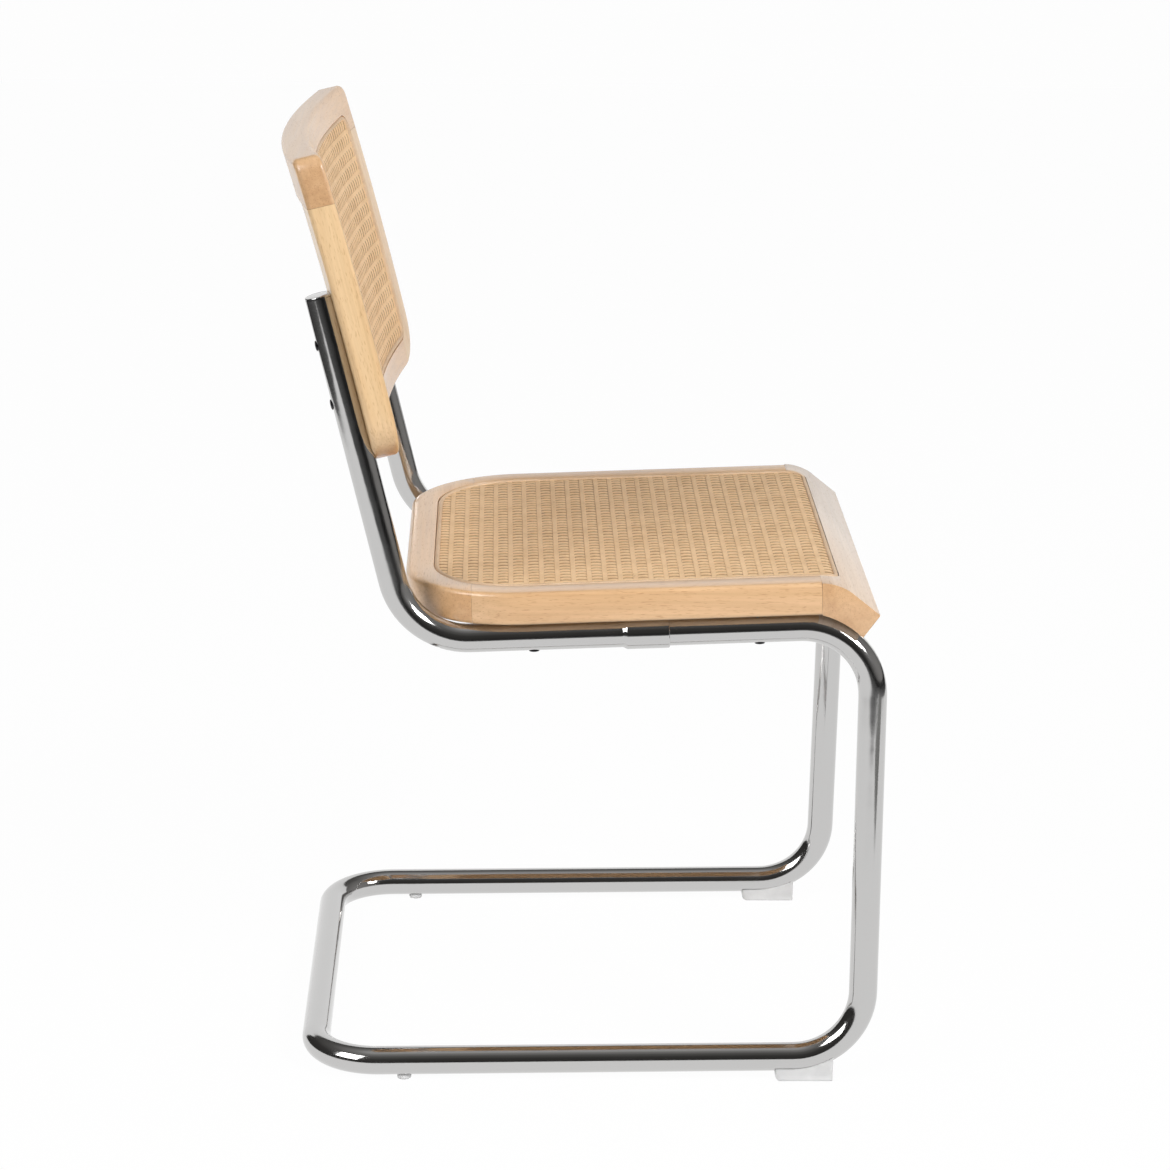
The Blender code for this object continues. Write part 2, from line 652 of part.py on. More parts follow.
for side, sign in SIDES:
    rail = seat_rails[side + "_seat_rail"]
    for place, offset in (("outer", DOWEL_SPACING / 2), ("inner", -DOWEL_SPACING / 2)):
        middle = (sign * (FRONT_DOWEL_X + offset), FRONT_JOINT, SEAT_MIDDLE)
        dowel(f"{side}_front_{place}_dowel", middle, (0, 1, 0), seat_axes, (rail, front_rail))
    dowel(f"{side}_rear_dowel", (sign * REAR_DOWEL_X, REAR_JOINT, SEAT_MIDDLE),
          (0, 1, 0), seat_axes, (rail, seat_rails["seat_rear_rail"]))

# Back frame: a top rail across two stiles, with a bottom rail between them. The pieces are trimmed
# from one flat ring and grooved, then bowed across and curved back above the uprights, and drilled.
HALF_BACK = BACK_WIDTH / 2
TOP_JOINT = BACK_TOP - BACK_RAIL_HEIGHT
BOTTOM_JOINT = BACK_BOTTOM + BACK_RAIL_HEIGHT
STILE_JOINT = HALF_BACK - RAIL_WIDTH
STILE_MIDDLE = HALF_BACK - RAIL_WIDTH / 2
BACK_MIDDLE = BACK_FRONT + BACK_THICKNESS / 2
OPENING_SHY = 2 * GAP
FACING_FRONT = Matrix.Rotation(math.radians(90), 4, "X")
BOW_SLICES = 10
CURVE_SLICES = 3


def back_outline(inset):
    """Outline of the back, drawn in by an inset."""
    top_corner = BACK_TOP_CORNER
    if inset:
        top_corner = CANE_FRONT_CORNER + RIM_WIDTH - inset
    bottom_corner = BACK_BOTTOM_CORNER - inset
    side_x = HALF_BACK - inset
    return rounded_outline([
        (side_x, BACK_BOTTOM + inset, bottom_corner),
        (side_x, BACK_TOP - inset, top_corner),
        (-side_x, BACK_TOP - inset, top_corner),
        (-side_x, BACK_BOTTOM + inset, bottom_corner),
    ])


def back_shift(point):
    """Rearward shift that bows the back across its width and curves its top back."""
    bow = BACK_BOW * (1 - (point.x / HALF_BACK) ** 2)
    above = max(0.0, point.z - BACK_CURVE_START)
    return Vector((0, bow + above ** 2 / (2 * BACK_CURVE_RADIUS), 0))


def facing(y):
    """Placing matrix of a back slab whose middle lies at a depth."""
    return Matrix.Translation((0, y, 0)) @ FACING_FRONT


bow_places = [STILE_JOINT * (2 * step / BOW_SLICES - 1) for step in range(1, BOW_SLICES)]
for _, sign in SIDES:
    bow_places += [sign * (STILE_JOINT - DOWEL_SPACING / 2), sign * STILE_MIDDLE]
back_planes = [(Vector((x, 0, 0)), Vector((1, 0, 0))) for x in bow_places]
back_planes += [(Vector((0, 0, BACK_CURVE_START + (BACK_TOP - BACK_CURVE_START) * step / CURVE_SLICES)),
                 Vector((0, 0, 1))) for step in range(CURVE_SLICES)]
opening = rounded_outline([
    (STILE_JOINT - OPENING_SHY, BOTTOM_JOINT + OPENING_SHY, 0),
    (STILE_JOINT - OPENING_SHY, TOP_JOINT - OPENING_SHY, 0),
    (OPENING_SHY - STILE_JOINT, TOP_JOINT - OPENING_SHY, 0),
    (OPENING_SHY - STILE_JOINT, BOTTOM_JOINT + OPENING_SHY, 0),
])
ring = slab_mesh("back_ring", [back_outline(0), opening], BACK_THICKNESS, BACK_ARRIS,
                 facing(BACK_MIDDLE))
far = BACK_WIDTH
trims = {
    "back_top_rail": ((-far, -far, TOP_JOINT), (far, far, BACK_TOP + far)),
    "left_stile": ((STILE_JOINT, -far, 0), (far, far, TOP_JOINT - GAP)),
    "right_stile": ((-far, -far, 0), (-STILE_JOINT, far, TOP_JOINT - GAP)),
    "back_bottom_rail": ((GAP - STILE_JOINT, -far, 0), (STILE_JOINT - GAP, far, BOTTOM_JOINT)),
}
flat = {}
for name, (low, high) in trims.items():
    flat[name] = add_object(name + "_flat", ring.copy(), parent=back_axes)
    boolean(flat[name], block(name + "_trim", low, high, back_axes), "INTERSECT")
groove = slab_mesh("back_groove", [back_outline(RIM_WIDTH), back_outline(RIM_WIDTH + GROOVE_WIDTH)],
                   groove_height, 0, facing(BACK_FRONT + GROOVE_DEPTH - groove_height / 2))
lip = slab_mesh("back_lip", [back_outline(RIM_WIDTH + GROOVE_WIDTH / 2)], lip_height, 0,
                facing(BACK_FRONT + LIP_DROP - lip_height / 2))
for cut_mesh in (groove, lip):
    cutter = add_object(cut_mesh.name, cut_mesh, parent=back_axes)
    for piece in flat.values():
        boolean(piece, cutter)

# The back pieces take their bow, and each stile a seat along its upright
back_pieces = {}
for name, piece in flat.items():
    mesh = evaluated_mesh(piece)
    mesh.name = name
    bend(mesh, back_planes, back_shift)
    bpy.data.objects.remove(piece)
    back_pieces[name] = add_object(name, mesh, WOOD, back_axes)
for side, sign in SIDES:
    x = sign * HALF_SEAT_TUBES
    tube_seat = rod(side + "_tube_seat", (x, 0, 0), (x, 0, UPRIGHT_LENGTH + CAP_THICKNESS + 2 * GAP),
                    TUBE_RADIUS + GAP, parent=back_axes)
    boolean(back_pieces[side + "_stile"], tube_seat)

# Back dowels: two up through each top joint and two across each bottom joint
BOTTOM_RAIL_MIDDLE = BACK_BOTTOM + BACK_RAIL_HEIGHT / 2
for side, sign in SIDES:
    stile = back_pieces[side + "_stile"]
    for place, offset in (("outer", DOWEL_SPACING / 2), ("inner", -DOWEL_SPACING / 2)):
        middle = Vector((sign * (STILE_MIDDLE + offset), BACK_MIDDLE, TOP_JOINT))
        dowel(f"{side}_top_{place}_dowel", middle + back_shift(middle), (0, 0, 1), back_axes,
              (stile, back_pieces["back_top_rail"]))
    for place, offset in (("upper", DOWEL_SPACING / 2), ("lower", -DOWEL_SPACING / 2)):
        middle = Vector((sign * STILE_JOINT, BACK_MIDDLE, BOTTOM_RAIL_MIDDLE + offset))
        dowel(f"{side}_bottom_{place}_dowel", middle + back_shift(middle), (1, 0, 0), back_axes,
              (stile, back_pieces["back_bottom_rail"]))

# Threaded inserts and bolts: up through the seat tubes into the side rails, and forward through
# the uprights into the stiles
BOLT_RADIUS = BOLT_DIAMETER / 2
INSERT_RADIUS = INSERT_DIAMETER / 2
HEAD_SEAT = TUBE_RADIUS + GAP
insert_profile = (
    (BOLT_RADIUS + GAP, INSERT_LENGTH),
    (INSERT_RADIUS, INSERT_LENGTH),
    (INSERT_RADIUS, 0),
    (BOLT_RADIUS + GAP, 0),
)


def bolt_profile(length):
    """A bolt along +Z with its head below the tube; zero is the tube's axis."""
    return (
        (0, length),
        (BOLT_RADIUS, length),
        (BOLT_RADIUS, -HEAD_SEAT),
        (BOLT_HEAD_DIAMETER / 2, -HEAD_SEAT),
        (BOLT_HEAD_DIAMETER / 2, -HEAD_SEAT - BOLT_HEAD_HEIGHT / 2),
        (BOLT_HEAD_DIAMETER / 3, -HEAD_SEAT - BOLT_HEAD_HEIGHT),
        (0, -HEAD_SEAT - BOLT_HEAD_HEIGHT),
    )


def drill(name, place, depth, radius, parent):
    """A hole cutter along a bolt, from well outside the tube to a depth past its axis."""
    start = place @ Vector((0, 0, -TUBE_DIAMETER))
    return rod(name, start, place @ Vector((0, 0, depth)), radius, parent=parent)


FORWARD = Matrix.Rotation(math.radians(90), 4, "X")
for side, sign in SIDES:
    x = sign * HALF_SEAT_TUBES
    rail = seat_rails[side + "_seat_rail"]
    for row, along, tube in (
        ("front", SEAT_FRONT_BOLT, base_tube),
        ("rear", SEAT_REAR_BOLT, upper_tubes[side]),
    ):
        name = f"{side}_{row}_seat"
        place = Matrix.Translation((x, along, 0))
        turned(name + "_insert", insert_profile, True, ZINC, seat_axes,
               place @ Matrix.Translation((0, 0, SEAT_BOTTOM)))
        turned(name + "_bolt", bolt_profile(SEAT_BOTTOM + INSERT_LENGTH), False, STEEL, seat_axes, place)
        tube_hole = drill(name + "_tube_hole", place, TUBE_DIAMETER, BOLT_RADIUS + GAP, seat_axes)
        boolean(tube, tube_hole)
        depth = SEAT_BOTTOM + INSERT_LENGTH + DRILL_SPARE
        insert_hole = drill(name + "_insert_hole", place, depth, INSERT_RADIUS + GAP, seat_axes)
        boolean(rail, insert_hole)
    for row, height in (("lower", BACK_LOWER_BOLT), ("upper", BACK_UPPER_BOLT)):
        name = f"{side}_{row}_back"
        place = Matrix.Translation((x, 0, height)) @ FORWARD
        insert_seat = TUBE_RADIUS + GAP
        turned(name + "_insert", insert_profile, True, ZINC, back_axes,
               place @ Matrix.Translation((0, 0, insert_seat)))
        turned(name + "_bolt", bolt_profile(insert_seat + INSERT_LENGTH), False, STEEL, back_axes, place)
        tube_hole = drill(name + "_tube_hole", place, TUBE_DIAMETER, BOLT_RADIUS + GAP, back_axes)
        boolean(upper_tubes[side], tube_hole)
        depth = insert_seat + INSERT_LENGTH + DRILL_SPARE
        insert_hole = drill(name + "_insert_hole", place, depth, INSERT_RADIUS + GAP, back_axes)
        boolean(back_pieces[side + "_stile"], insert_hole)

# Back cane and its spline
cane_mesh = slab_mesh("back_cane", [back_outline(RIM_WIDTH + GROOVE_WIDTH)], CANE_THICKNESS, 0,
                      facing(BACK_FRONT + GAP + CANE_THICKNESS / 2))
bend(cane_mesh, back_planes, back_shift)
add_object("back_cane", cane_mesh, CANE, back_axes)
spline_depth = BACK_FRONT - SPLINE_PROUD + SPLINE_RADIUS
spline_path = []
for flat_point in split_runs(back_outline(RIM_WIDTH + GROOVE_WIDTH / 2), SPLINE_RUN):
    point = Vector((flat_point.x, spline_depth, flat_point.y))
    spline_path.append(point + back_shift(point))
spline_mesh = pipe_mesh("back_spline", spline_path, SPLINE_RADIUS, cyclic=True, resolution=2)
add_object("back_spline", spline_mesh, REED, back_axes)
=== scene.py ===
"""Looks of a cantilever dining chair: chromed tube frame, beech seat and back, woven cane panels.

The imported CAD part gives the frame. Each section makes one piece, or a group of like pieces, in the
order in which the chair is put together. Lengths are in metres, and the chair faces -Y.
"""
import math

import bmesh
import bpy
from mathutils import Matrix, Vector


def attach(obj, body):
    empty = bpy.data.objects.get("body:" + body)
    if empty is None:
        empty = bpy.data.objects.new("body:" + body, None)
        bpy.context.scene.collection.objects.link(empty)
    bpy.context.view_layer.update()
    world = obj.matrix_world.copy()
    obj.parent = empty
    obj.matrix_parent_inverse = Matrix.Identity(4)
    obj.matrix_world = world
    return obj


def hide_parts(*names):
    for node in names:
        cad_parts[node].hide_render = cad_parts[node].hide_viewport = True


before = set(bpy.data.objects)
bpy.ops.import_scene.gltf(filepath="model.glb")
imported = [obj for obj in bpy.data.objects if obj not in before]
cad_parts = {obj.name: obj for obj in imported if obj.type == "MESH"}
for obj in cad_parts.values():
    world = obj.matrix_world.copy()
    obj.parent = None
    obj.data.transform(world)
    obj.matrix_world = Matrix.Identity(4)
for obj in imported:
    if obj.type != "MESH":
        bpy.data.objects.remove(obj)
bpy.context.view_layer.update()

# Base tube: one length of 25 mm steel tube, bent into the front legs, the floor runners and the rear
# cross tube, ground, polished and chromed. Its two open ends are spigots under the seat.
TUBE_RADIUS = 0.0125
TUBE_BORE = 0.011
TUBE_SIDES = 48
BEND_STEPS = 20
SEAT_TUBE_X = 0.18825
RUNNER_X = 0.2175
FRONT_BEND = 0.0615
FLOOR_CORNER = 0.058
SPIGOT_END = 0.212
FOOT = Vector((RUNNER_X, -0.249, 0.0205))
REAR_CORNER = Vector((RUNNER_X, 0.2365, 0.0156))
SEAT_PITCH = math.radians(-2.2)
SMOOTH_ANGLE = math.radians(35)
NEAR = 1e-6
MIRRORED = Vector((-1, 1, 1))
seat_axes = Matrix.Translation((0, -0.2514, 0.4119)) @ Matrix.Rotation(SEAT_PITCH, 4, "X")


def start_finish(name, **sockets):
    """A new finish with its shader's constant values set."""
    finish = bpy.data.materials.new(name)
    finish.use_nodes = True
    shader = finish.node_tree.nodes["Principled BSDF"]
    for socket, value in sockets.items():
        shader.inputs[socket.replace("_", " ")].default_value = value
    return finish, finish.node_tree, shader


def add_node(tree, kind, settings=None, **sockets):
    """A node with its settings, its values and the links into it. A socket goes by its name, or by i and
    its number."""
    node = tree.nodes.new("ShaderNode" + kind)
    for key, value in (settings or {}).items():
        setattr(node, key, value)
    for key, value in sockets.items():
        numbered = key[0] == "i" and key[1:].isdigit()
        socket = node.inputs[int(key[1:]) if numbered else key.replace("_", " ")]
        if isinstance(value, bpy.types.NodeSocket):
            tree.links.new(value, socket)
        else:
            socket.default_value = value
    return node


def add_ramp(tree, factor, *stops):
    """A colour ramp through the given places and colours."""
    ramp = add_node(tree, "ValToRGB", Fac=factor)
    elements = ramp.color_ramp.elements
    elements[0].position, elements[0].color = stops[0][0], (*stops[0][1], 1)
    elements[1].position, elements[1].color = stops[-1][0], (*stops[-1][1], 1)
    for place, colour in stops[1:-1]:
        elements.new(place).color = (*colour, 1)
    return ramp.outputs["Color"]


def add_noise(tree, place, scale, detail, **sockets):
    """A cloudy pattern, as a factor."""
    return add_node(tree, "TexNoise", Vector=place, Scale=scale, Detail=detail, **sockets).outputs["Fac"]


def roughen(tree, shader, pattern, low, high, start=0.3, end=0.7):
    """Lets a pattern vary the roughness from low to high."""
    rough = add_node(tree, "MapRange", Value=pattern, i1=start, i2=end, i3=low, i4=high)
    tree.links.new(rough.outputs["Result"], shader.inputs["Roughness"])


def emboss(tree, shader, pattern, strength, distance, **under):
    """Lets a pattern raise the surface, over another bump where there is one."""
    bump = add_node(tree, "Bump", Height=pattern, Strength=strength, Distance=distance, **under)
    tree.links.new(bump.outputs["Normal"], shader.inputs["Normal"])


def chrome_finish():
    """Bright chrome plate on drawn tube: slightly wavy, with a faint haze and fine polishing marks."""
    finish, tree, shader = start_finish("chrome_plate", Metallic=1.0, Base_Color=(0.56, 0.555, 0.55, 1))
    place = add_node(tree, "TexCoord").outputs["Object"]
    haze = add_noise(tree, place, 21.0, 5.0, Roughness=0.6)
    roughen(tree, shader, haze, 0.08, 0.15, start=0.35, end=0.75)
    waves = add_noise(tree, place, 45.0, 1.0)
    drawn = add_node(tree, "Bump", Height=waves, Strength=0.10, Distance=0.001).outputs["Normal"]
    marks = add_noise(tree, place, 900.0, 2.0)
    emboss(tree, shader, marks, 0.012, 0.0004, Normal=drawn)
    return finish


def finish_piece(name, bm, finish, node):
    """Turns a finished bmesh into a piece that stands for a CAD node."""
    bmesh.ops.remove_doubles(bm, verts=bm.verts, dist=NEAR)
    bmesh.ops.recalc_face_normals(bm, faces=bm.faces)
    mesh = bpy.data.meshes.new(name)
    bm.to_mesh(mesh)
    bm.free()
    mesh.materials.append(finish)
    mesh.shade_smooth()
    mesh.set_sharp_from_angle(angle=SMOOTH_ANGLE)
    piece = bpy.data.objects.new(name, mesh)
    bpy.context.scene.collection.objects.link(piece)
    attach(piece, "root")
    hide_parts(node)
    return piece


def verts_of(geometry):
    return [item for item in geometry if isinstance(item, bmesh.types.BMVert)]


def each_once(items):
    """The items without repeats, in the order in which they come, which is the same in every run."""
    return list(dict.fromkeys(items))


def ring_edges(verts):
    """The edges that join these points to one another."""
    inside = set(verts)
    return each_once(edge for vert in verts for edge in vert.link_edges if edge.other_vert(vert) in inside)


def carry_ring(bm, edges, move, widen=1.0):
    """Draws a ring of edges out along a straight run, and widens or narrows it on the way."""
    ring = verts_of(bmesh.ops.extrude_edge_only(bm, edges=edges)["geom"])
    bmesh.ops.translate(bm, vec=move, verts=ring)
    middle = sum((vert.co for vert in ring), Vector()) / len(ring)
    bmesh.ops.scale(bm, vec=(widen, widen, widen), space=Matrix.Translation(-middle), verts=ring)
    return ring_edges(ring)


def bend_skin(bm, edges, corners, bends):
    """Carries a ring along the runs between corners and spins it round each bend."""
    here = corners[0]
    heading = (corners[1] - corners[0]).normalized()
    for corner, after, bend in zip(corners[1:], corners[2:], bends):
        leaving = (after - corner).normalized()
        angle = heading.angle(leaving)
        setback = bend * math.tan(angle / 2)
        bend_start = corner - heading * setback
        edges = carry_ring(bm, edges, bend_start - here)
        inward = (leaving - heading * leaving.dot(heading)).normalized()
        geometry = edges + each_once(vert for edge in edges for vert in edge.verts)
        spun = bmesh.ops.spin(bm, geom=geometry, cent=bend_start + inward * bend,
                              axis=heading.cross(leaving).normalized(), angle=angle, steps=BEND_STEPS)
        edges = ring_edges(verts_of(spun["geom_last"]))
        here = corner + leaving * setback
        heading = leaving
    return carry_ring(bm, edges, corners[-1] - here)


def start_ring(bm, middle, toward, radius, sides=TUBE_SIDES):
    """A ring of edges that faces along a direction."""
    place = Matrix.Translation(middle) @ toward.to_track_quat("Z", "Y").to_matrix().to_4x4()
    return ring_edges(bmesh.ops.create_circle(bm, segments=sides, radius=radius, matrix=place)["verts"])


left_run = [seat_axes @ Vector((SEAT_TUBE_X, y, 0)) for y in (SPIGOT_END, 0)] + [FOOT, REAR_CORNER]
base_run = left_run + [point * MIRRORED for point in reversed(left_run)]
base_bends = [FRONT_BEND, FRONT_BEND, FLOOR_CORNER, FLOOR_CORNER, FRONT_BEND, FRONT_BEND]
bm = bmesh.new()
skins = []
for radius in (TUBE_RADIUS, TUBE_BORE):
    mouth = start_ring(bm, base_run[0], base_run[1] - base_run[0], radius)
    skins.append((mouth, bend_skin(bm, mouth, base_run, base_bends)))
for outer, inner in zip(*skins):
    bmesh.ops.bridge_loops(bm, edges=outer + inner)
chrome = chrome_finish()
finish_piece("chromed_base_tube", bm, chrome, "base_tube")

# Upper tubes: a second length of the same tube on each side, bent up into the upright. Its front end
# is swaged wider into a socket, and the spigot of the base tube is driven into that.
SOCKET_FRONT = 0.178
SOCKET_LENGTH = 0.036
SOCKET_TAPER = 0.005
TAPER_STEPS = 8
SOCKET_RADIUS = 0.0144
SOCKET_BORE = 0.0129
SOCKET_LIP = 0.0008
SEAT_TUBE_END = 0.4035
SEAT_BEND = 0.066
UPRIGHT_LENGTH = 0.309
BACK_LEAN = math.radians(-13.6)
SIDES = (("left", 1), ("right", -1))
back_axes = (Matrix.Translation(seat_axes @ Vector((0, SEAT_TUBE_END, 0)))
             @ Matrix.Rotation(BACK_LEAN, 4, "X"))
for side, sign in SIDES:
    x = sign * SEAT_TUBE_X
    corners = [seat_axes @ Vector((x, y, 0)) for y in (SOCKET_FRONT, SEAT_TUBE_END)]
    corners.append(back_axes @ Vector((x, 0, UPRIGHT_LENGTH)))
    heading = (corners[1] - corners[0]).normalized()
    bm = bmesh.new()
    skins = []
    for wide, plain, lip in ((SOCKET_RADIUS, TUBE_RADIUS, -SOCKET_LIP),
                             (SOCKET_BORE, TUBE_BORE, SOCKET_LIP)):
        mouth = start_ring(bm, corners[0], heading, wide + lip)
        ring = carry_ring(bm, mouth, heading * SOCKET_LIP, wide / (wide + lip))
        ring = carry_ring(bm, ring, heading * (SOCKET_LENGTH - SOCKET_LIP))
        radius = wide
        for step in range(1, TAPER_STEPS + 1):
            narrower = plain + (wide - plain) * (1 + math.cos(math.pi * step / TAPER_STEPS)) / 2
            ring = carry_ring(bm, ring, heading * (SOCKET_TAPER / TAPER_STEPS), narrower / radius)
            radius = narrower
        behind = corners[0] + heading * (SOCKET_LENGTH + SOCKET_TAPER)
        skins.append((mouth, bend_skin(bm, ring, [behind] + corners[1:], [SEAT_BEND])))
    for outer, inner in zip(*skins):
        bmesh.ops.bridge_loops(bm, edges=outer + inner)
    finish_piece(side + "_chromed_upright", bm, chrome, side + "_upper_tube")

# End caps: a thin chromed disc with a low crown closes the top of each upright. A plug under it is
# pressed into the tube.
CAP_GAP = 0.0003
CAP_SEAT = UPRIGHT_LENGTH + CAP_GAP
CAP_HEIGHT = 0.002
CAP_EDGE = 0.0007
CAP_CROWN = 0.0003
PLUG_RADIUS = 0.0104
PLUG_DEPTH = 0.010
ROUND_MIDDLE = 0.3


def turn_piece(bm, profile, sides=TUBE_SIDES):
    """Turns a profile of radius and height points about Z, from one pole to the other."""
    points = [bm.verts.new((radius, 0, height)) for radius, height in profile]
    edges = [bm.edges.new(pair) for pair in zip(points, points[1:])]
    bmesh.ops.spin(bm, geom=points + edges, cent=(0, 0, 0), axis=(0, 0, 1), angle=math.tau,
                   steps=sides, use_merge=True)
    bmesh.ops.remove_doubles(bm, verts=bm.verts, dist=NEAR)


for side, sign in SIDES:
    bm = bmesh.new()
    top = CAP_SEAT + CAP_HEIGHT
    turn_piece(bm, (
        (0, top),
        (TUBE_RADIUS * 0.5, top - CAP_CROWN * 0.25),
        (TUBE_RADIUS - CAP_EDGE, top - CAP_CROWN),
        (TUBE_RADIUS - CAP_EDGE * ROUND_MIDDLE, top - CAP_CROWN - CAP_EDGE * ROUND_MIDDLE),
        (TUBE_RADIUS, top - CAP_CROWN - CAP_EDGE),
        (TUBE_RADIUS, CAP_SEAT),
        (PLUG_RADIUS, CAP_SEAT),
        (PLUG_RADIUS, CAP_SEAT - PLUG_DEPTH),
        (0, CAP_SEAT - PLUG_DEPTH),
    ))
    upright_axes = back_axes @ Matrix.Translation((sign * SEAT_TUBE_X, 0, 0))
    bmesh.ops.transform(bm, matrix=upright_axes, verts=bm.verts)
    finish_piece(side + "_tube_cap", bm, chrome, side + "_end_cap")

# Glides: pale plastic feet. A moulded block fills the corner under each front bend, and a small round
# button sits near the rear of each runner. A hidden peg on each one snaps into a hole in the tube.
GLIDE_WIDTH = 0.020
GLIDE_FRONT = -0.2235
GLIDE_REAR = -0.1725
GLIDE_EDGE = 0.0012
GLIDE_TOE = 0.005
GLIDE_LENGTHS = 12
GLIDE_BREADTHS = 10
CRISP_ANGLE = 0.5
BUTTON_RADIUS = 0.00625
BUTTON_EDGE = 0.0012
BUTTON_PLACE = 0.405
RUNNER_LENGTH = REAR_CORNER.y - FOOT.y
SADDLE_GAP = 0.0003
SADDLE_FROM = FOOT.z * 0.9


def glide_finish():
    """Milky moulded plastic, slightly scuffed."""
    finish, tree, shader = start_finish("glide_plastic", IOR=1.45, Transmission_Weight=0.35)
    place = add_node(tree, "TexCoord").outputs["Object"]
    cloud = add_noise(tree, place, 70.0, 3.0)
    milk = add_ramp(tree, cloud, (0.3, (0.74, 0.74, 0.74)), (0.7, (0.82, 0.82, 0.82)))
    tree.links.new(milk, shader.inputs["Base Color"])
    scuffs = add_noise(tree, place, 420.0, 4.0)
    roughen(tree, shader, scuffs, 0.32, 0.55)
    emboss(tree, shader, scuffs, 0.08, 0.0003)
    return finish


def tube_underside(x, y):
    """Height of the underside of a runner and its front bend over a point of the floor."""
    across = max(0.0, (TUBE_RADIUS + SADDLE_GAP) ** 2 - x * x)
    axis_rise = (REAR_CORNER.z - FOOT.z) / RUNNER_LENGTH
    bend_behind = FOOT.y + FRONT_BEND - y
    lift = 0.0
    if bend_behind > 0:
        level = math.sqrt(FRONT_BEND ** 2 - bend_behind ** 2)
        lift = FRONT_BEND - level
        across *= (level / FRONT_BEND) ** -1
    return FOOT.z + axis_rise * (y - FOOT.y) + lift - math.sqrt(across)


def ease(bm, geometry, offset, segments, affect="EDGES"):
    """Rounds edges or corners."""
    bmesh.ops.bevel(bm, geom=geometry, offset=offset, segments=segments, profile=0.5, affect=affect,
                    material=-1)


def everything(bm):
    return bm.verts[:] + bm.edges[:] + bm.faces[:]


def score(bm, point, facing):
    """Adds a line of edges where a plane meets the shape, so that it can bend there."""
    bmesh.ops.bisect_plane(bm, geom=everything(bm), plane_co=point, plane_no=facing)


pale_plastic = glide_finish()
for side, sign in SIDES:
    bm = bmesh.new()
    bmesh.ops.create_cube(bm, size=1)
    length = GLIDE_REAR - GLIDE_FRONT
    bmesh.ops.scale(bm, vec=(GLIDE_WIDTH, length, FOOT.z), verts=bm.verts)
    bmesh.ops.translate(bm, vec=(0, GLIDE_FRONT + length / 2, FOOT.z / 2), verts=bm.verts)
    toe = [edge for edge in bm.edges
           if all(vert.co.z < GLIDE_EDGE and vert.co.y > GLIDE_REAR - GLIDE_EDGE for vert in edge.verts)]
    ease(bm, toe, GLIDE_TOE, 8)
    crisp = [edge for edge in bm.edges
             if min(vert.co.z for vert in edge.verts) < SADDLE_FROM
             and edge.calc_face_angle(0) > CRISP_ANGLE]
    ease(bm, crisp, GLIDE_EDGE, 3)
    for step in range(1, GLIDE_LENGTHS):
        score(bm, (0, GLIDE_FRONT + length * step / GLIDE_LENGTHS, 0), (0, 1, 0))
    for step in range(1 - GLIDE_BREADTHS // 2, GLIDE_BREADTHS // 2):
        score(bm, (GLIDE_WIDTH * step / GLIDE_BREADTHS, 0, 0), (1, 0, 0))
    for vert in bm.verts:
        if vert.co.z > SADDLE_FROM:
            vert.co.z = tube_underside(vert.co.x, vert.co.y)
    bmesh.ops.translate(bm, vec=(sign * RUNNER_X, 0, 0), verts=bm.verts)
    finish_piece(side + "_front_foot", bm, pale_plastic, side + "_front_glide")
    bm = bmesh.new()
    button_y = FOOT.y + BUTTON_PLACE
    button_top = tube_underside(0, button_y)
    turn_piece(bm, (
        (0, button_top),
        (BUTTON_RADIUS - BUTTON_EDGE, button_top),
        (BUTTON_RADIUS, button_top - BUTTON_EDGE * 0.5),
        (BUTTON_RADIUS, BUTTON_EDGE),
        (BUTTON_RADIUS - BUTTON_EDGE * ROUND_MIDDLE, BUTTON_EDGE * ROUND_MIDDLE),
        (BUTTON_RADIUS - BUTTON_EDGE, 0),
        (0, 0),
    ))
    bmesh.ops.translate(bm, vec=(sign * RUNNER_X, button_y, 0), verts=bm.verts)
    finish_piece(side + "_rear_foot", bm, pale_plastic, side + "_rear_glide")

# Seat side and rear rails: solid beech, 29 mm thick, shaped to one cross-section with eased edges and a
# groove for the cane. They are dowelled and glued to each other and to the front rail.
SEAT_HALF = 0.20665
SEAT_DEPTH = 0.4055
SEAT_TOP = 0.0437
SEAT_BOTTOM = 0.0147
SEAT_CORNER = 0.100
SEAT_EASE = 0.004
INNER_EASE = 0.0015
RAIL_WIDTH = 0.038
RIM_WIDTH = 0.0245
GROOVE_WIDTH = 0.005
GROOVE_DEPTH = 0.0042
LIP_DROP = 0.003
FRONT_JOINT = 0.047
REAR_JOINT = 0.3475
JOINT_GAP = 0.00015
CORNER_STEPS = 24
ALONG_X = (0.0, math.pi / 2, 0.0)
ALONG_Y = (math.pi / 2, 0.0, 0.0)
SAW_REACH = 1e-9
UNTINTED = (1.0, 1.0, 1.0)
BEECH_TONES = ((0.66, 0.40, 0.200), (0.76, 0.485, 0.262), (0.84, 0.57, 0.335))
BEECH_END = (0.88, 0.78, 0.66, 1)


def tint(tree, share, colour, tone):
    """Multiplies a colour by a tone, as far as the share goes."""
    return add_node(tree, "Mix", {"data_type": "RGBA", "blend_type": "MULTIPLY"}, i0=share, i6=colour,
                    i7=tone).outputs[2]


def add_grain(tree, place, scale, detail, turn=(0.0, 0.0, 0.0), **sockets):
    """A cloudy pattern, drawn out by a scale for each axis and turned."""
    drawn_out = add_node(tree, "Mapping", Vector=place, Rotation=turn, Scale=scale).outputs["Vector"]
    return add_noise(tree, drawn_out, 1.0, detail, **sockets)


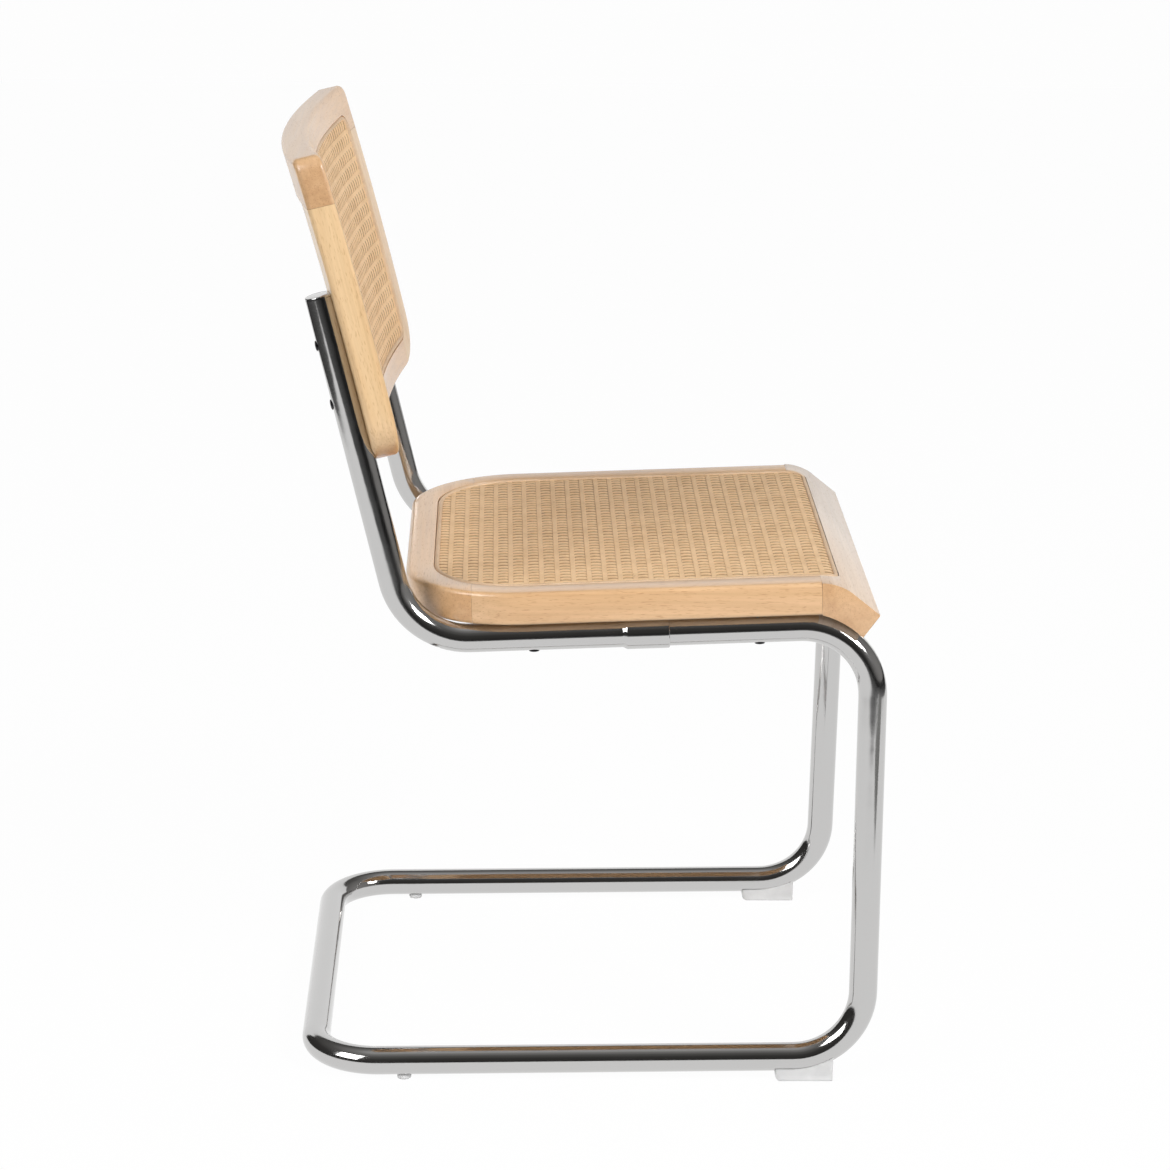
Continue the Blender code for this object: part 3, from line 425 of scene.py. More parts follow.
def beech_finish(name, turn, shift, tones=BEECH_TONES, end_tone=BEECH_END):
    """Pale lacquered beech. The grain runs along Z of the turned pattern: soft bands, fine streaks and
    short dark flecks, with a darker cut across the ends. That end tone also paints shade on the stiles'
    bottom corners and a pale sheen on the top rail's ends."""
    dark, middle, pale = tones
    finish, tree, shader = start_finish(name, Specular_IOR_Level=0.2, Coat_Weight=1.0, Coat_Roughness=0.27,
                                        Coat_IOR=1.6)
    coordinates = add_node(tree, "TexCoord")
    board = add_node(tree, "Mapping", Vector=coordinates.outputs["Object"], Location=shift,
                     Rotation=turn).outputs["Vector"]
    bands = add_grain(tree, board, (46.0, 46.0, 3.0), 4.0, Roughness=0.55, Distortion=0.4)
    streaks = add_grain(tree, board, (330.0, 330.0, 7.0), 3.0)
    flecks = add_grain(tree, board, (1100.0, 1100.0, 130.0), 1.0)
    ground = add_ramp(tree, bands, (0.25, dark), (0.5, middle), (0.78, pale))
    streak_tone = add_ramp(tree, streaks, (0.3, (0.86, 0.83, 0.80)), (0.62, UNTINTED))
    fleck_tone = add_ramp(tree, flecks, (0.30, (0.70, 0.58, 0.48)), (0.40, UNTINTED))
    flecked = tint(tree, 0.6, tint(tree, 0.7, ground, streak_tone), fleck_tone)
    turned = add_node(tree, "Mapping", {"vector_type": "NORMAL"}, Vector=coordinates.outputs["Normal"],
                      Rotation=turn).outputs["Vector"]
    along = add_node(tree, "SeparateXYZ", Vector=turned).outputs["Z"]
    # Where the surface faces along the grain the end tone goes on: end grain, with painted shade on the
    # stiles and a painted sheen on the top rail.
    end_facing = add_node(tree, "Math", {"operation": "ABSOLUTE"}, i0=along).outputs["Value"]
    end_share = add_node(tree, "MapRange", Value=end_facing, i1=0.55, i2=0.95, i3=0.0, i4=1.0)
    colour = tint(tree, end_share.outputs["Result"], flecked, end_tone)
    tree.links.new(colour, shader.inputs["Base Color"])
    roughen(tree, shader, streaks, 0.36, 0.48)
    emboss(tree, shader, flecks, 0.06, 0.0004)
    return finish


def saw(bm, point, waste_side):
    """Cuts a solid with a plane, takes away the side that the direction points to, and closes the cut."""
    point, waste = Vector(point), Vector(waste_side)
    near = [vert for vert in bm.verts if (vert.co - point).dot(waste) > -SAW_REACH]
    faces = each_once(face for vert in near for face in vert.link_faces)
    edges = each_once(edge for face in faces for edge in face.edges)
    verts = each_once(vert for edge in edges for vert in edge.verts)
    cut = bmesh.ops.bisect_plane(bm, geom=verts + edges + faces, plane_co=point, plane_no=waste,
                                 clear_outer=True)
    rim = [item for item in cut["geom_cut"] if isinstance(item, bmesh.types.BMEdge)]
    bmesh.ops.edgeloop_fill(bm, edges=rim)


def face_of(geometry):
    return next(item for item in geometry if isinstance(item, bmesh.types.BMFace))


def push_face(bm, face, move):
    """Draws a solid's end face out along a straight run."""
    grown = bmesh.ops.extrude_face_region(bm, geom=[face])["geom"]
    bmesh.ops.translate(bm, vec=move, verts=verts_of(grown))
    return face_of(grown)


def verts_at(bm, point):
    """The points of a shape that lie at a place."""
    return [vert for vert in bm.verts if (vert.co - Vector(point)).length < NEAR]


def seat_rail_ring():
    """The rail's cross-section drawn round the U of the seat, from one front joint to the other."""
    bm = bmesh.new()
    groove_x = SEAT_HALF - RIM_WIDTH
    inner_x = SEAT_HALF - RAIL_WIDTH
    section = (
        (SEAT_HALF, SEAT_BOTTOM), (SEAT_HALF, SEAT_TOP),
        (groove_x, SEAT_TOP), (groove_x, SEAT_TOP - GROOVE_DEPTH),
        (groove_x - GROOVE_WIDTH, SEAT_TOP - GROOVE_DEPTH),
        (groove_x - GROOVE_WIDTH, SEAT_TOP - LIP_DROP),
        (inner_x, SEAT_TOP - LIP_DROP), (inner_x, SEAT_BOTTOM),
    )
    points = [bm.verts.new((x, FRONT_JOINT, z)) for x, z in section]
    bmesh.ops.contextual_create(bm, geom=points)
    ease(bm, points[:2], SEAT_EASE, 5, "VERTICES")
    ease(bm, verts_at(bm, (groove_x, FRONT_JOINT, SEAT_TOP)), INNER_EASE / 3, 2, "VERTICES")
    ease(bm, verts_at(bm, (inner_x, FRONT_JOINT, SEAT_BOTTOM)), INNER_EASE, 3, "VERTICES")
    bm.faces.ensure_lookup_table()
    face = push_face(bm, bm.faces[0], (0, SEAT_DEPTH - SEAT_CORNER - FRONT_JOINT, 0))
    for sign in (1, -1):
        centre = (sign * (SEAT_HALF - SEAT_CORNER), SEAT_DEPTH - SEAT_CORNER, 0)
        spun = bmesh.ops.spin(bm, geom=[face], cent=centre, axis=(0, 0, 1), angle=math.pi / 2,
                              steps=CORNER_STEPS)
        run = (2 * (SEAT_CORNER - SEAT_HALF), 0, 0)
        if sign < 0:
            run = (0, FRONT_JOINT + SEAT_CORNER - SEAT_DEPTH, 0)
        face = push_face(bm, face_of(spun["geom_last"]), run)
    return bm


for side, sign in SIDES:
    bm = seat_rail_ring()
    saw(bm, (0, 0, 0), (-sign, 0, 0))
    saw(bm, (0, REAR_JOINT - JOINT_GAP, 0), (0, 1, 0))
    bmesh.ops.transform(bm, matrix=seat_axes, verts=bm.verts)
    beech = beech_finish(side + "_seat_rail_beech", ALONG_Y, (sign * 0.31, 0.2, 0.13))
    finish_piece(side + "_beech_seat_rail", bm, beech, side + "_seat_rail")
bm = seat_rail_ring()
saw(bm, (0, REAR_JOINT, 0), (0, -1, 0))
bmesh.ops.transform(bm, matrix=seat_axes, verts=bm.verts)
beech = beech_finish("seat_rear_rail_beech", ALONG_X, (0.7, 0.11, 0.4))
finish_piece("beech_seat_rear_rail", bm, beech, "seat_rear_rail")

# Seat front rail: one length of beech whose top rolls over into a sloping nose. It is hollowed below to
# clear the bends of the tube, and rebated on top for the front edge of the cane.
NOSE_ROUND = 0.014955
NOSE_CORNER = 0.032045
NOSE_TIP = (-0.003271, 0.0130)
NOSE_LOW = (0.012366, -0.007014)
HOLLOW_MIDDLE = (0.069787, -0.059806)
HOLLOW_TURN = math.radians(30.2)
HOLLOW_STEPS = 12
NOSE_STEPS = 14
NOSE_END_EASE = 0.0008
# Front rail tones: the beech made paler and greyer, a painted sheen of the lacquer on the sloping nose over
# the wood's own tone.
NOSE_TONES_WITH_SHEEN = ((0.68, 0.49, 0.34), (0.77, 0.585, 0.43), (0.84, 0.67, 0.52))
NOSE_END = (0.87, 0.70, 0.50, 1)
NOSE_TIP_EASE = 0.0015
ROLL_RADIUS = 0.040
CANE_FRONT = 0.029
CANE_FRONT_CORNER = 0.015
REBATE_REACH = 0.05
REBATE_HEIGHT = 0.02
ROLL_CUTS = 6


def nose_drop(y):
    """How far the top of the seat has rolled down at a place on the front rail."""
    reach = max(0.0, FRONT_JOINT - y)
    return ROLL_RADIUS - math.sqrt(ROLL_RADIUS ** 2 - reach ** 2)


def carve(piece, bm):
    """Cuts the shape of a bmesh out of a piece."""
    mesh = bpy.data.meshes.new("carving_tool")
    bmesh.ops.recalc_face_normals(bm, faces=bm.faces)
    bm.to_mesh(mesh)
    bm.free()
    tool = bpy.data.objects.new("carving_tool", mesh)
    bpy.context.scene.collection.objects.link(tool)
    cut = piece.modifiers.new("carve", "BOOLEAN")
    cut.object = tool
    cut.solver = "EXACT"
    depsgraph = bpy.context.evaluated_depsgraph_get()
    carved = bpy.data.meshes.new_from_object(piece.evaluated_get(depsgraph))
    piece.modifiers.remove(cut)
    whole = piece.data
    piece.data = carved
    carved.name = piece.name
    carved.shade_smooth()
    carved.set_sharp_from_angle(angle=SMOOTH_ANGLE)
    for used in (whole, mesh):
        bpy.data.meshes.remove(used)


bm = bmesh.new()
joint_y = FRONT_JOINT - JOINT_GAP
top_corner, nose, tip, low = (bm.verts.new((-SEAT_HALF, y, z)) for y, z in (
    (joint_y, SEAT_TOP), (NOSE_CORNER, SEAT_TOP), NOSE_TIP, NOSE_LOW))
hollow = bmesh.ops.spin(bm, geom=[low], cent=(0, *HOLLOW_MIDDLE), axis=(1, 0, 0), angle=-HOLLOW_TURN,
                        steps=HOLLOW_STEPS)
foot = verts_of(hollow["geom_last"])[0]
foot.co = Vector((-SEAT_HALF, joint_y, SEAT_BOTTOM))
for pair in ((foot, top_corner), (top_corner, nose), (nose, tip), (tip, low)):
    bm.edges.new(pair)
bmesh.ops.edgeloop_fill(bm, edges=bm.edges)
ease(bm, [nose], NOSE_ROUND, NOSE_STEPS, "VERTICES")
ease(bm, verts_at(bm, (-SEAT_HALF, *NOSE_TIP)), NOSE_TIP_EASE, 4, "VERTICES")
bm.faces.ensure_lookup_table()
push_face(bm, bm.faces[0], (2 * SEAT_HALF, 0, 0))
ends = [edge for edge in bm.edges
        if abs(edge.verts[0].co.x - edge.verts[1].co.x) < NEAR
        and not all(vert.co.y > joint_y - NEAR for vert in edge.verts)]
ease(bm, ends, NOSE_END_EASE, 2)
bmesh.ops.transform(bm, matrix=seat_axes, verts=bm.verts)
beech = beech_finish("seat_front_rail_beech", ALONG_X, (0.2, 0.5, 0.9), NOSE_TONES_WITH_SHEEN, NOSE_END)
front_rail = finish_piece("beech_seat_front_rail", bm, beech, "seat_front_rail")
bm = bmesh.new()
rebate_half = SEAT_HALF - RIM_WIDTH
bmesh.ops.create_cube(bm, size=1)
bmesh.ops.scale(bm, vec=(2 * rebate_half, REBATE_REACH, REBATE_HEIGHT), verts=bm.verts)
rebate_middle = (0, CANE_FRONT + REBATE_REACH / 2, SEAT_TOP - GROOVE_DEPTH + REBATE_HEIGHT / 2)
bmesh.ops.translate(bm, vec=rebate_middle, verts=bm.verts)
corners = [edge for edge in bm.edges
           if all(vert.co.y < CANE_FRONT + NEAR for vert in edge.verts)
           and abs(edge.verts[0].co.x - edge.verts[1].co.x) < NEAR]
ease(bm, corners, CANE_FRONT_CORNER, 8)
for step in range(1, ROLL_CUTS):
    score(bm, (0, CANE_FRONT + (FRONT_JOINT - CANE_FRONT) * step / ROLL_CUTS, 0), (0, 1, 0))
for vert in bm.verts:
    vert.co.z -= nose_drop(vert.co.y)
bmesh.ops.transform(bm, matrix=seat_axes, verts=bm.verts)
carve(front_rail, bm)

# Seat cane: flat strips of rattan peel, woven close and pressed into the groove wet, so that they dry
# tight. Broad pale strips lie across the seat, on top. Strips from front to rear show between them like
# rungs, and under strips close the cloth below. The under strips are painted dark as painted shade in the
# gaps of the weave, and so are the flanks of the rungs, whose cut edges are also a little darker.
CANE_LEVEL = 0.0016
BROAD_STRIP = 0.0044
UNDER_STRIP = 0.0110
BROAD_PITCH = 0.0135
RUNG_STRIP = 0.0067
RUNG_PITCH = 0.0090
STRIP_THICKNESS = 0.00042
STRIP_FACE = 0.86
WEAVE_RISE = 0.00022
BROAD_WAVE = 0.0001
CUTS_PER_PITCH = 8
CROSS_ERROR = 0.0005
RUNG_ERROR = 0.0009
UNEVEN_STEP = 7
RUNG_STEEPNESS = 2.0
FIELD_STEPS = 8
CANE_PALE = (0.98, 0.72, 0.44)
CANE_BROAD = (0.95, 0.68, 0.41)
CANE_MIDDLE = (0.93, 0.645, 0.38)
# The two darkest cane tones are painted shade: they colour the under strips and the rungs' flanks in the
# gaps of the weave.
CANE_SHADE = (0.60, 0.385, 0.205)
CANE_DEEP_SHADE = (0.42, 0.25, 0.125)
SPLINE_LINE = RIM_WIDTH + GROOVE_WIDTH / 2


def cane_finish(name, turn, pale, dark):
    """Matt rattan peel: each strip has its own tone, with fine fibres along it, small dark spots and soft
    darker patches."""
    finish, tree, shader = start_finish(name, Specular_IOR_Level=0.4)
    place = add_node(tree, "TexCoord").outputs["Object"]
    strips = add_grain(tree, place, (260.0, 260.0, 5.0), 2.0, turn)
    fibres = add_grain(tree, place, (2600.0, 2600.0, 60.0), 2.0, turn)
    spots = add_noise(tree, place, 240.0, 3.0)
    patches = add_noise(tree, place, 55.0, 3.0)
    tone = add_ramp(tree, strips, (0.3, dark), (0.66, pale))
    fibre_tone = add_ramp(tree, fibres, (0.3, (0.84, 0.80, 0.74)), (0.65, UNTINTED))
    spot_tone = add_ramp(tree, spots, (0.27, (0.55, 0.42, 0.30)), (0.36, UNTINTED))
    patch_tone = add_ramp(tree, patches, (0.36, (0.90, 0.87, 0.82)), (0.60, UNTINTED))
    spotted = tint(tree, 0.5, tint(tree, 0.8, tone, fibre_tone), spot_tone)
    tree.links.new(tint(tree, 0.9, spotted, patch_tone), shader.inputs["Base Color"])
    roughen(tree, shader, fibres, 0.42, 0.62)
    emboss(tree, shader, fibres, 0.15, 0.0002)
    return finish


def lay_strips(width, length, cuts, count, pitch, error, turned):
    """Flat strips side by side, laid slightly unevenly. Each has a narrower face and sloping flanks, and is
    cut along its length so that it can wave."""
    bm = bmesh.new()
    bmesh.ops.create_cube(bm, size=1)
    bmesh.ops.scale(bm, vec=(width, length, STRIP_THICKNESS), verts=bm.verts)
    # Slot 0 takes the faces and slot 1 the flanks. The rungs give their flanks the painted shade of the
    # under strips.
    for face in bm.faces:
        face.normal_update()
        face.material_index = 0 if face.normal.z > 0.5 else 1
    for vert in bm.verts:
        if vert.co.z > 0:
            vert.co.x *= STRIP_FACE
    long_edges = [edge for edge in bm.edges if abs(edge.verts[0].co.y - edge.verts[1].co.y) > width]
    bmesh.ops.subdivide_edges(bm, edges=long_edges, cuts=cuts, use_grid_fill=True)
    bmesh.ops.translate(bm, vec=((1 - count) / 2 * pitch, 0, 0), verts=bm.verts)
    if turned:
        quarter = Matrix.Rotation(math.pi / 2, 3, "Z")
        bmesh.ops.rotate(bm, cent=(0, 0, 0), matrix=quarter, verts=bm.verts)
    step = Vector((0, pitch, 0)) if turned else Vector((pitch, 0, 0))
    first = everything(bm)
    for index in range(1, count):
        strip = verts_of(bmesh.ops.duplicate(bm, geom=first)["geom"])
        uneven = error / pitch * math.sin(UNEVEN_STEP * index)
        bmesh.ops.translate(bm, vec=step * (index + uneven), verts=strip)
    return bm


def rung_strips(width, length):
    """The strips from front to rear. They dive under the broad strips and rise over the under strips."""
    count = 2 * int(width / RUNG_PITCH / 2) + 3
    pitches = 2 * int(length / BROAD_PITCH / 2) + 3
    cuts = pitches * CUTS_PER_PITCH - 1
    bm = lay_strips(RUNG_STRIP, pitches * BROAD_PITCH, cuts, count, RUNG_PITCH, RUNG_ERROR, turned=False)
    for vert in bm.verts:
        wave = RUNG_STEEPNESS * math.cos(math.tau * vert.co.y / BROAD_PITCH)
        vert.co.z -= WEAVE_RISE * max(-1.0, min(1.0, wave))
    return bm


def cross_strips(width, length, strip_width, extra):
    """The strips across, one to each pitch of the weave."""
    count = 2 * int(length / BROAD_PITCH / 2) + extra
    cuts = CUTS_PER_PITCH * int(width / RUNG_PITCH)
    strip_length = width + 2 * RUNG_PITCH
    return lay_strips(strip_width, strip_length, cuts, count, BROAD_PITCH, CROSS_ERROR, turned=True)


def broad_strips(width, length):
    """The pale strips on top, which rise a little over each rung."""
    bm = cross_strips(width, length, BROAD_STRIP, 3)
    for vert in bm.verts:
        vert.co.z += WEAVE_RISE + BROAD_WAVE * (1 + math.cos(math.tau * vert.co.x / RUNG_PITCH))
    return bm


def under_strips(width, length):
    """The strips below, half way between the broad ones."""
    bm = cross_strips(width, length, UNDER_STRIP, 4)
    bmesh.ops.translate(bm, vec=(0, 0, -WEAVE_RISE), verts=bm.verts)
    return bm


def trim_to(bm, outline):
    """Cuts woven strips along a convex outline and closes their ends."""
    for here, there in zip(outline, outline[1:] + outline[:1]):
        outward = Vector((there.y - here.y, here.x - there.x, 0))
        saw(bm, here, outward)


def rounded_field(half_width, low, high, low_corner, high_corner):
    """Corner points of a field with round corners, anticlockwise."""
    bm = bmesh.new()
    points = [bm.verts.new(point) for point in (
        (-half_width, low, 0), (half_width, low, 0), (half_width, high, 0), (-half_width, high, 0))]
    bmesh.ops.contextual_create(bm, geom=points)
    ease(bm, points[:2], low_corner, FIELD_STEPS, "VERTICES")
    upper = [vert for vert in bm.verts if vert.co.y > high - NEAR]
    ease(bm, upper, high_corner, FIELD_STEPS, "VERTICES")
    bm.faces.ensure_lookup_table()
    face = bm.faces[0]
    if face.normal.z < 0:
        face.normal_flip()
    outline = [loop.vert.co.copy() for loop in face.loops]
    bm.free()
    return outline


broad_cane = cane_finish("broad_cane", ALONG_X, CANE_BROAD, CANE_MIDDLE)
rung_cane = cane_finish("rung_cane", ALONG_Y, CANE_PALE, CANE_MIDDLE)
# The under strips' finish is painted shade, dark for the gaps of the weave, and the rungs' flanks take it
# too.
cane_in_painted_shade = cane_finish("cane_in_painted_shade", ALONG_X, CANE_SHADE, CANE_DEEP_SHADE)


def weave_panel(name, width, length, outline, lay, slot_node):
    """Weaves a panel in three layers of strips, trims it to its field and lays it in its frame."""
    reach = [point.y for point in outline]
    middle = Vector((0, (min(reach) + max(reach)) / 2, 0))
    # The rungs' flanks take the painted shade of the under strips.
    layers = (("broad_strips", broad_strips(width, length), broad_cane, broad_cane),
              ("under_strips", under_strips(width, length), cane_in_painted_shade, cane_in_painted_shade),
              ("rung_strips", rung_strips(width, length), rung_cane, cane_in_painted_shade))
    for layer, bm, finish, flank in layers:
        bmesh.ops.translate(bm, vec=middle, verts=bm.verts)
        trim_to(bm, outline)
        for vert in bm.verts:
            vert.co = lay(vert.co)
        piece = finish_piece(name + "_" + layer, bm, finish, slot_node)
        piece.data.materials.append(flank)


def lay_on_seat(point):
    """Puts a point of the flat weave on the seat, down over the front rail's roll."""
    return seat_axes @ Vector((point.x, point.y, SEAT_TOP - CANE_LEVEL + point.z - nose_drop(point.y)))


field_half = SEAT_HALF - SPLINE_LINE
field_front = CANE_FRONT + GROOVE_WIDTH / 2
field_rear = SEAT_DEPTH - SPLINE_LINE
seat_field = rounded_field(field_half, field_front, field_rear, CANE_FRONT_CORNER - GROOVE_WIDTH / 2,
                           SEAT_CORNER - SPLINE_LINE)
weave_panel("seat_cane", 2 * field_half, field_rear - field_front, seat_field, lay_on_seat, "seat_cane")

# Seat spline: a round reed, glued and tapped down into the groove, where it holds the edge of the cane.
# It stands a little proud and runs right round the field in one length.
SPLINE_RADIUS = 0.0022
SPLINE_PROUD = 0.0005
SPLINE_SIDES = 12
SPLINE_CUT = 0.010


def reed_finish():
    """Pale round reed, fine in the fibre, whose tone drifts along its length."""
    finish, tree, shader = start_finish("spline_reed", Specular_IOR_Level=0.4)
    place = add_node(tree, "TexCoord").outputs["Object"]
    lengths = add_noise(tree, place, 36.0, 4.0)
    fibres = add_noise(tree, place, 1300.0, 2.0)
    tone = add_ramp(tree, lengths, (0.3, (0.66, 0.46, 0.29)), (0.7, (0.78, 0.58, 0.40)))
    fibre_tone = add_ramp(tree, fibres, (0.3, (0.82, 0.78, 0.72)), (0.6, UNTINTED))
    tree.links.new(tint(tree, 0.6, tone, fibre_tone), shader.inputs["Base Color"])
    roughen(tree, shader, fibres, 0.45, 0.6)
    emboss(tree, shader, fibres, 0.1, 0.0002)
    return finish


def reed_round(outline):
    """A closed round reed along a flat outline, in short lengths so that it can follow a curve."""
    line = []
    for here, there in zip(outline, outline[1:] + outline[:1]):
        lengths = max(1, round((there - here).length / SPLINE_CUT))
        line += [here.lerp(there, step / lengths) for step in range(lengths)]
    bm = bmesh.new()
    rings = []
    for index, point in enumerate(line):
        heading = line[(index + 1) % len(line)] - line[index - 1]
        rings.append(start_ring(bm, point, heading, SPLINE_RADIUS, SPLINE_SIDES))
    for here, there in zip(rings, rings[1:] + rings[:1]):
        bmesh.ops.bridge_loops(bm, edges=here + there)
    return bm


reed = reed_finish()
bm = reed_round(seat_field)
for vert in bm.verts:
    height = SEAT_TOP + SPLINE_PROUD - SPLINE_RADIUS + vert.co.z - nose_drop(vert.co.y)
    vert.co = seat_axes @ Vector((vert.co.x, vert.co.y, height))
finish_piece("seat_reed", bm, reed, "seat_spline")

# Back rails and stiles: beech, 24 mm thick with well-rounded edges, bowed to fit the sitter. The top rail
# lies across the stiles and the bottom rail stands between them. Dowels hold the joints, and each stile is
# hollowed behind for its upright.
BACK_HALF = 0.210
BACK_LOW = 0.159
BACK_HIGH = 0.428
BACK_FRONT = -0.038
BACK_REAR = -0.014
BACK_EASE = 0.0045
BACK_LOW_CORNER = 0.041
BACK_HIGH_CORNER = 0.012
BACK_RAIL_HEIGHT = 0.042
OPENING_CORNER = 0.002
BACK_BOW = 0.022
CURVE_START = 0.220
CURVE_RADIUS = 4.0
EASE_STEPS = 5
BOW_CUTS = 24
CURVE_CUTS = 10
TOP_JOINT = BACK_HIGH - BACK_RAIL_HEIGHT
STILE_JOINT = BACK_HALF - RAIL_WIDTH
JOINT_SHY = 0.0001
GRAIN_UP = (-BACK_LEAN, 0.0, 0.0)
STILE_TONES = ((0.72, 0.465, 0.230), (0.81, 0.555, 0.300), (0.87, 0.63, 0.37))
# Stile end tone: the darker end grain, with painted shade on the bottom corner that turns underneath.
STILE_END_AND_SHADE = (0.62, 0.37, 0.22, 1)
# Top rail end tone: end grain darkened less and greyer, a painted pale sheen on the rail's ends.
TOP_RAIL_END_SHEEN = (0.86, 0.82, 0.80, 1)


def back_shift(x, z):
    """How far back the bow across and the curve above move a point of the flat back."""
    above = max(0.0, z - CURVE_START)
    return BACK_BOW * (1 - (x / BACK_HALF) ** 2) + above ** 2 / (2 * CURVE_RADIUS)


def back_loop(bm, inset, depth, low_corner, high_corner, inset_rail=None):
    """One closed line of the back frame, drawn in from its outline, at a depth."""
    up = inset if inset_rail is None else inset_rail
    outline = rounded_field(BACK_HALF - inset, BACK_LOW + up, BACK_HIGH - up, low_corner, high_corner)
    verts = [bm.verts.new((point.x, depth, point.y)) for point in outline]
    return [bm.edges.new(pair) for pair in zip(verts, verts[1:] + verts[:1])]


def back_ring():
    """The whole back frame in the flat: lines round its edges, groove, lip and opening, bridged in turn,
    and scored so that it can bow."""
    bm = bmesh.new()
    groove_in = RIM_WIDTH + GROOVE_WIDTH
    low_groove = BACK_LOW_CORNER - RIM_WIDTH
    loops = [back_loop(bm, RIM_WIDTH, BACK_FRONT, low_groove, CANE_FRONT_CORNER)]
    for front, facing in ((BACK_FRONT, 1), (BACK_REAR, -1)):
        for step in range(EASE_STEPS + 1):
            angle = math.pi / 2 * (step if facing > 0 else EASE_STEPS - step) / EASE_STEPS
            inset = BACK_EASE * (1 - math.sin(angle))
            depth = front + facing * BACK_EASE * (1 - math.cos(angle))
            loops.append(back_loop(bm, inset, depth, BACK_LOW_CORNER - inset, BACK_HIGH_CORNER - inset))
    for depth in (BACK_REAR, BACK_FRONT + LIP_DROP):
        loops.append(back_loop(bm, RAIL_WIDTH, depth, OPENING_CORNER, OPENING_CORNER, BACK_RAIL_HEIGHT))
    for depth in (BACK_FRONT + LIP_DROP, BACK_FRONT + GROOVE_DEPTH):
        loops.append(back_loop(bm, groove_in, depth, low_groove - GROOVE_WIDTH,
                               CANE_FRONT_CORNER - GROOVE_WIDTH))
    loops.append(back_loop(bm, RIM_WIDTH, BACK_FRONT + GROOVE_DEPTH, low_groove, CANE_FRONT_CORNER))
    for here, there in zip(loops, loops[1:] + loops[:1]):
        bmesh.ops.bridge_loops(bm, edges=here + there)
    bmesh.ops.recalc_face_normals(bm, faces=bm.faces)
    for step in range(1, BOW_CUTS):
        score(bm, (BACK_HALF * (2 * step / BOW_CUTS - 1), 0, 0), (1, 0, 0))
    for step in range(CURVE_CUTS):
        score(bm, (0, 0, CURVE_START + (BACK_HIGH - CURVE_START) * step / CURVE_CUTS), (0, 0, 1))
    return bm


def bow_back(bm):
    for vert in bm.verts:
        vert.co.y += back_shift(vert.co.x, vert.co.z)
    bmesh.ops.transform(bm, matrix=back_axes, verts=bm.verts)


bm = back_ring()
saw(bm, (0, 0, TOP_JOINT + JOINT_SHY), (0, 0, -1))
bow_back(bm)
beech = beech_finish("back_top_rail_beech", ALONG_X, (0.4, 0.8, 0.3), end_tone=TOP_RAIL_END_SHEEN)
finish_piece("beech_back_top_rail", bm, beech, "back_top_rail")
bm = back_ring()
saw(bm, (0, 0, TOP_JOINT - JOINT_GAP), (0, 0, 1))
for sign in (1, -1):
    saw(bm, (sign * (STILE_JOINT - JOINT_GAP), 0, 0), (sign, 0, 0))
bow_back(bm)
beech = beech_finish("back_bottom_rail_beech", ALONG_X, (0.9, 0.3, 0.6))
finish_piece("beech_back_bottom_rail", bm, beech, "back_bottom_rail")
for side, sign in SIDES:
    bm = back_ring()
    saw(bm, (0, 0, TOP_JOINT - JOINT_GAP), (0, 0, 1))
    saw(bm, (sign * (STILE_JOINT + JOINT_SHY), 0, 0), (-sign, 0, 0))
    bow_back(bm)
    beech = beech_finish(side + "_stile_beech", GRAIN_UP, (sign * 0.17, 0.6, 0.2), STILE_TONES, STILE_END_AND_SHADE)
    stile = finish_piece(side + "_beech_stile", bm, beech, side + "_stile")
    bm = bmesh.new()
    seat_of_tube = UPRIGHT_LENGTH + CAP_HEIGHT + 2 * JOINT_GAP
    middle = back_axes @ Matrix.Translation((sign * SEAT_TUBE_X, 0, seat_of_tube / 2))
    bmesh.ops.create_cone(bm, cap_ends=True, segments=TUBE_SIDES, radius1=TUBE_RADIUS + JOINT_GAP,
                          radius2=TUBE_RADIUS + JOINT_GAP, depth=seat_of_tube, matrix=middle)
    carve(stile, bm)

# Back cane and its spline: the same rattan weave and reed as in the seat, bent to the bow of the back.
# The cane is stretched over the opening from the front, and the reed is glued in over its edge.


def lay_on_back(point):
    """Puts a point of the flat weave on the front of the bowed back."""
    depth = BACK_FRONT + CANE_LEVEL - point.z + back_shift(point.x, point.y)
    return back_axes @ Vector((point.x, depth, point.y))


field_half = BACK_HALF - SPLINE_LINE
back_field = rounded_field(field_half, BACK_LOW + SPLINE_LINE, BACK_HIGH - SPLINE_LINE,
                           BACK_LOW_CORNER - SPLINE_LINE, CANE_FRONT_CORNER - GROOVE_WIDTH / 2)
weave_panel("back_cane", 2 * field_half, BACK_HIGH - BACK_LOW - 2 * SPLINE_LINE, back_field, lay_on_back,
            "back_cane")
bm = reed_round(back_field)
for vert in bm.verts:
    depth = BACK_FRONT - SPLINE_PROUD + SPLINE_RADIUS - vert.co.z
    vert.co = back_axes @ Vector((vert.co.x, depth + back_shift(vert.co.x, vert.co.y), vert.co.y))
finish_piece("back_reed", bm, reed, "back_spline")

# Bolts, inserts and dowels: dark zinc-plated bolts from under the seat and behind the uprights, screwed
# into zinc inserts in the wood, and plain beech dowels in the joints. They keep their CAD shapes.


def metal_finish(name, dark, pale, low_rough, high_rough):
    """Small metal parts with a mottled, slightly uneven plate."""
    finish, tree, shader = start_finish(name, Metallic=1.0)
    place = add_node(tree, "TexCoord").outputs["Object"]
    mottle = add_noise(tree, place, 380.0, 4.0)
    tree.links.new(add_ramp(tree, mottle, (0.3, dark), (0.7, pale)), shader.inputs["Base Color"])
    roughen(tree, shader, mottle, low_rough, high_rough)
    return finish


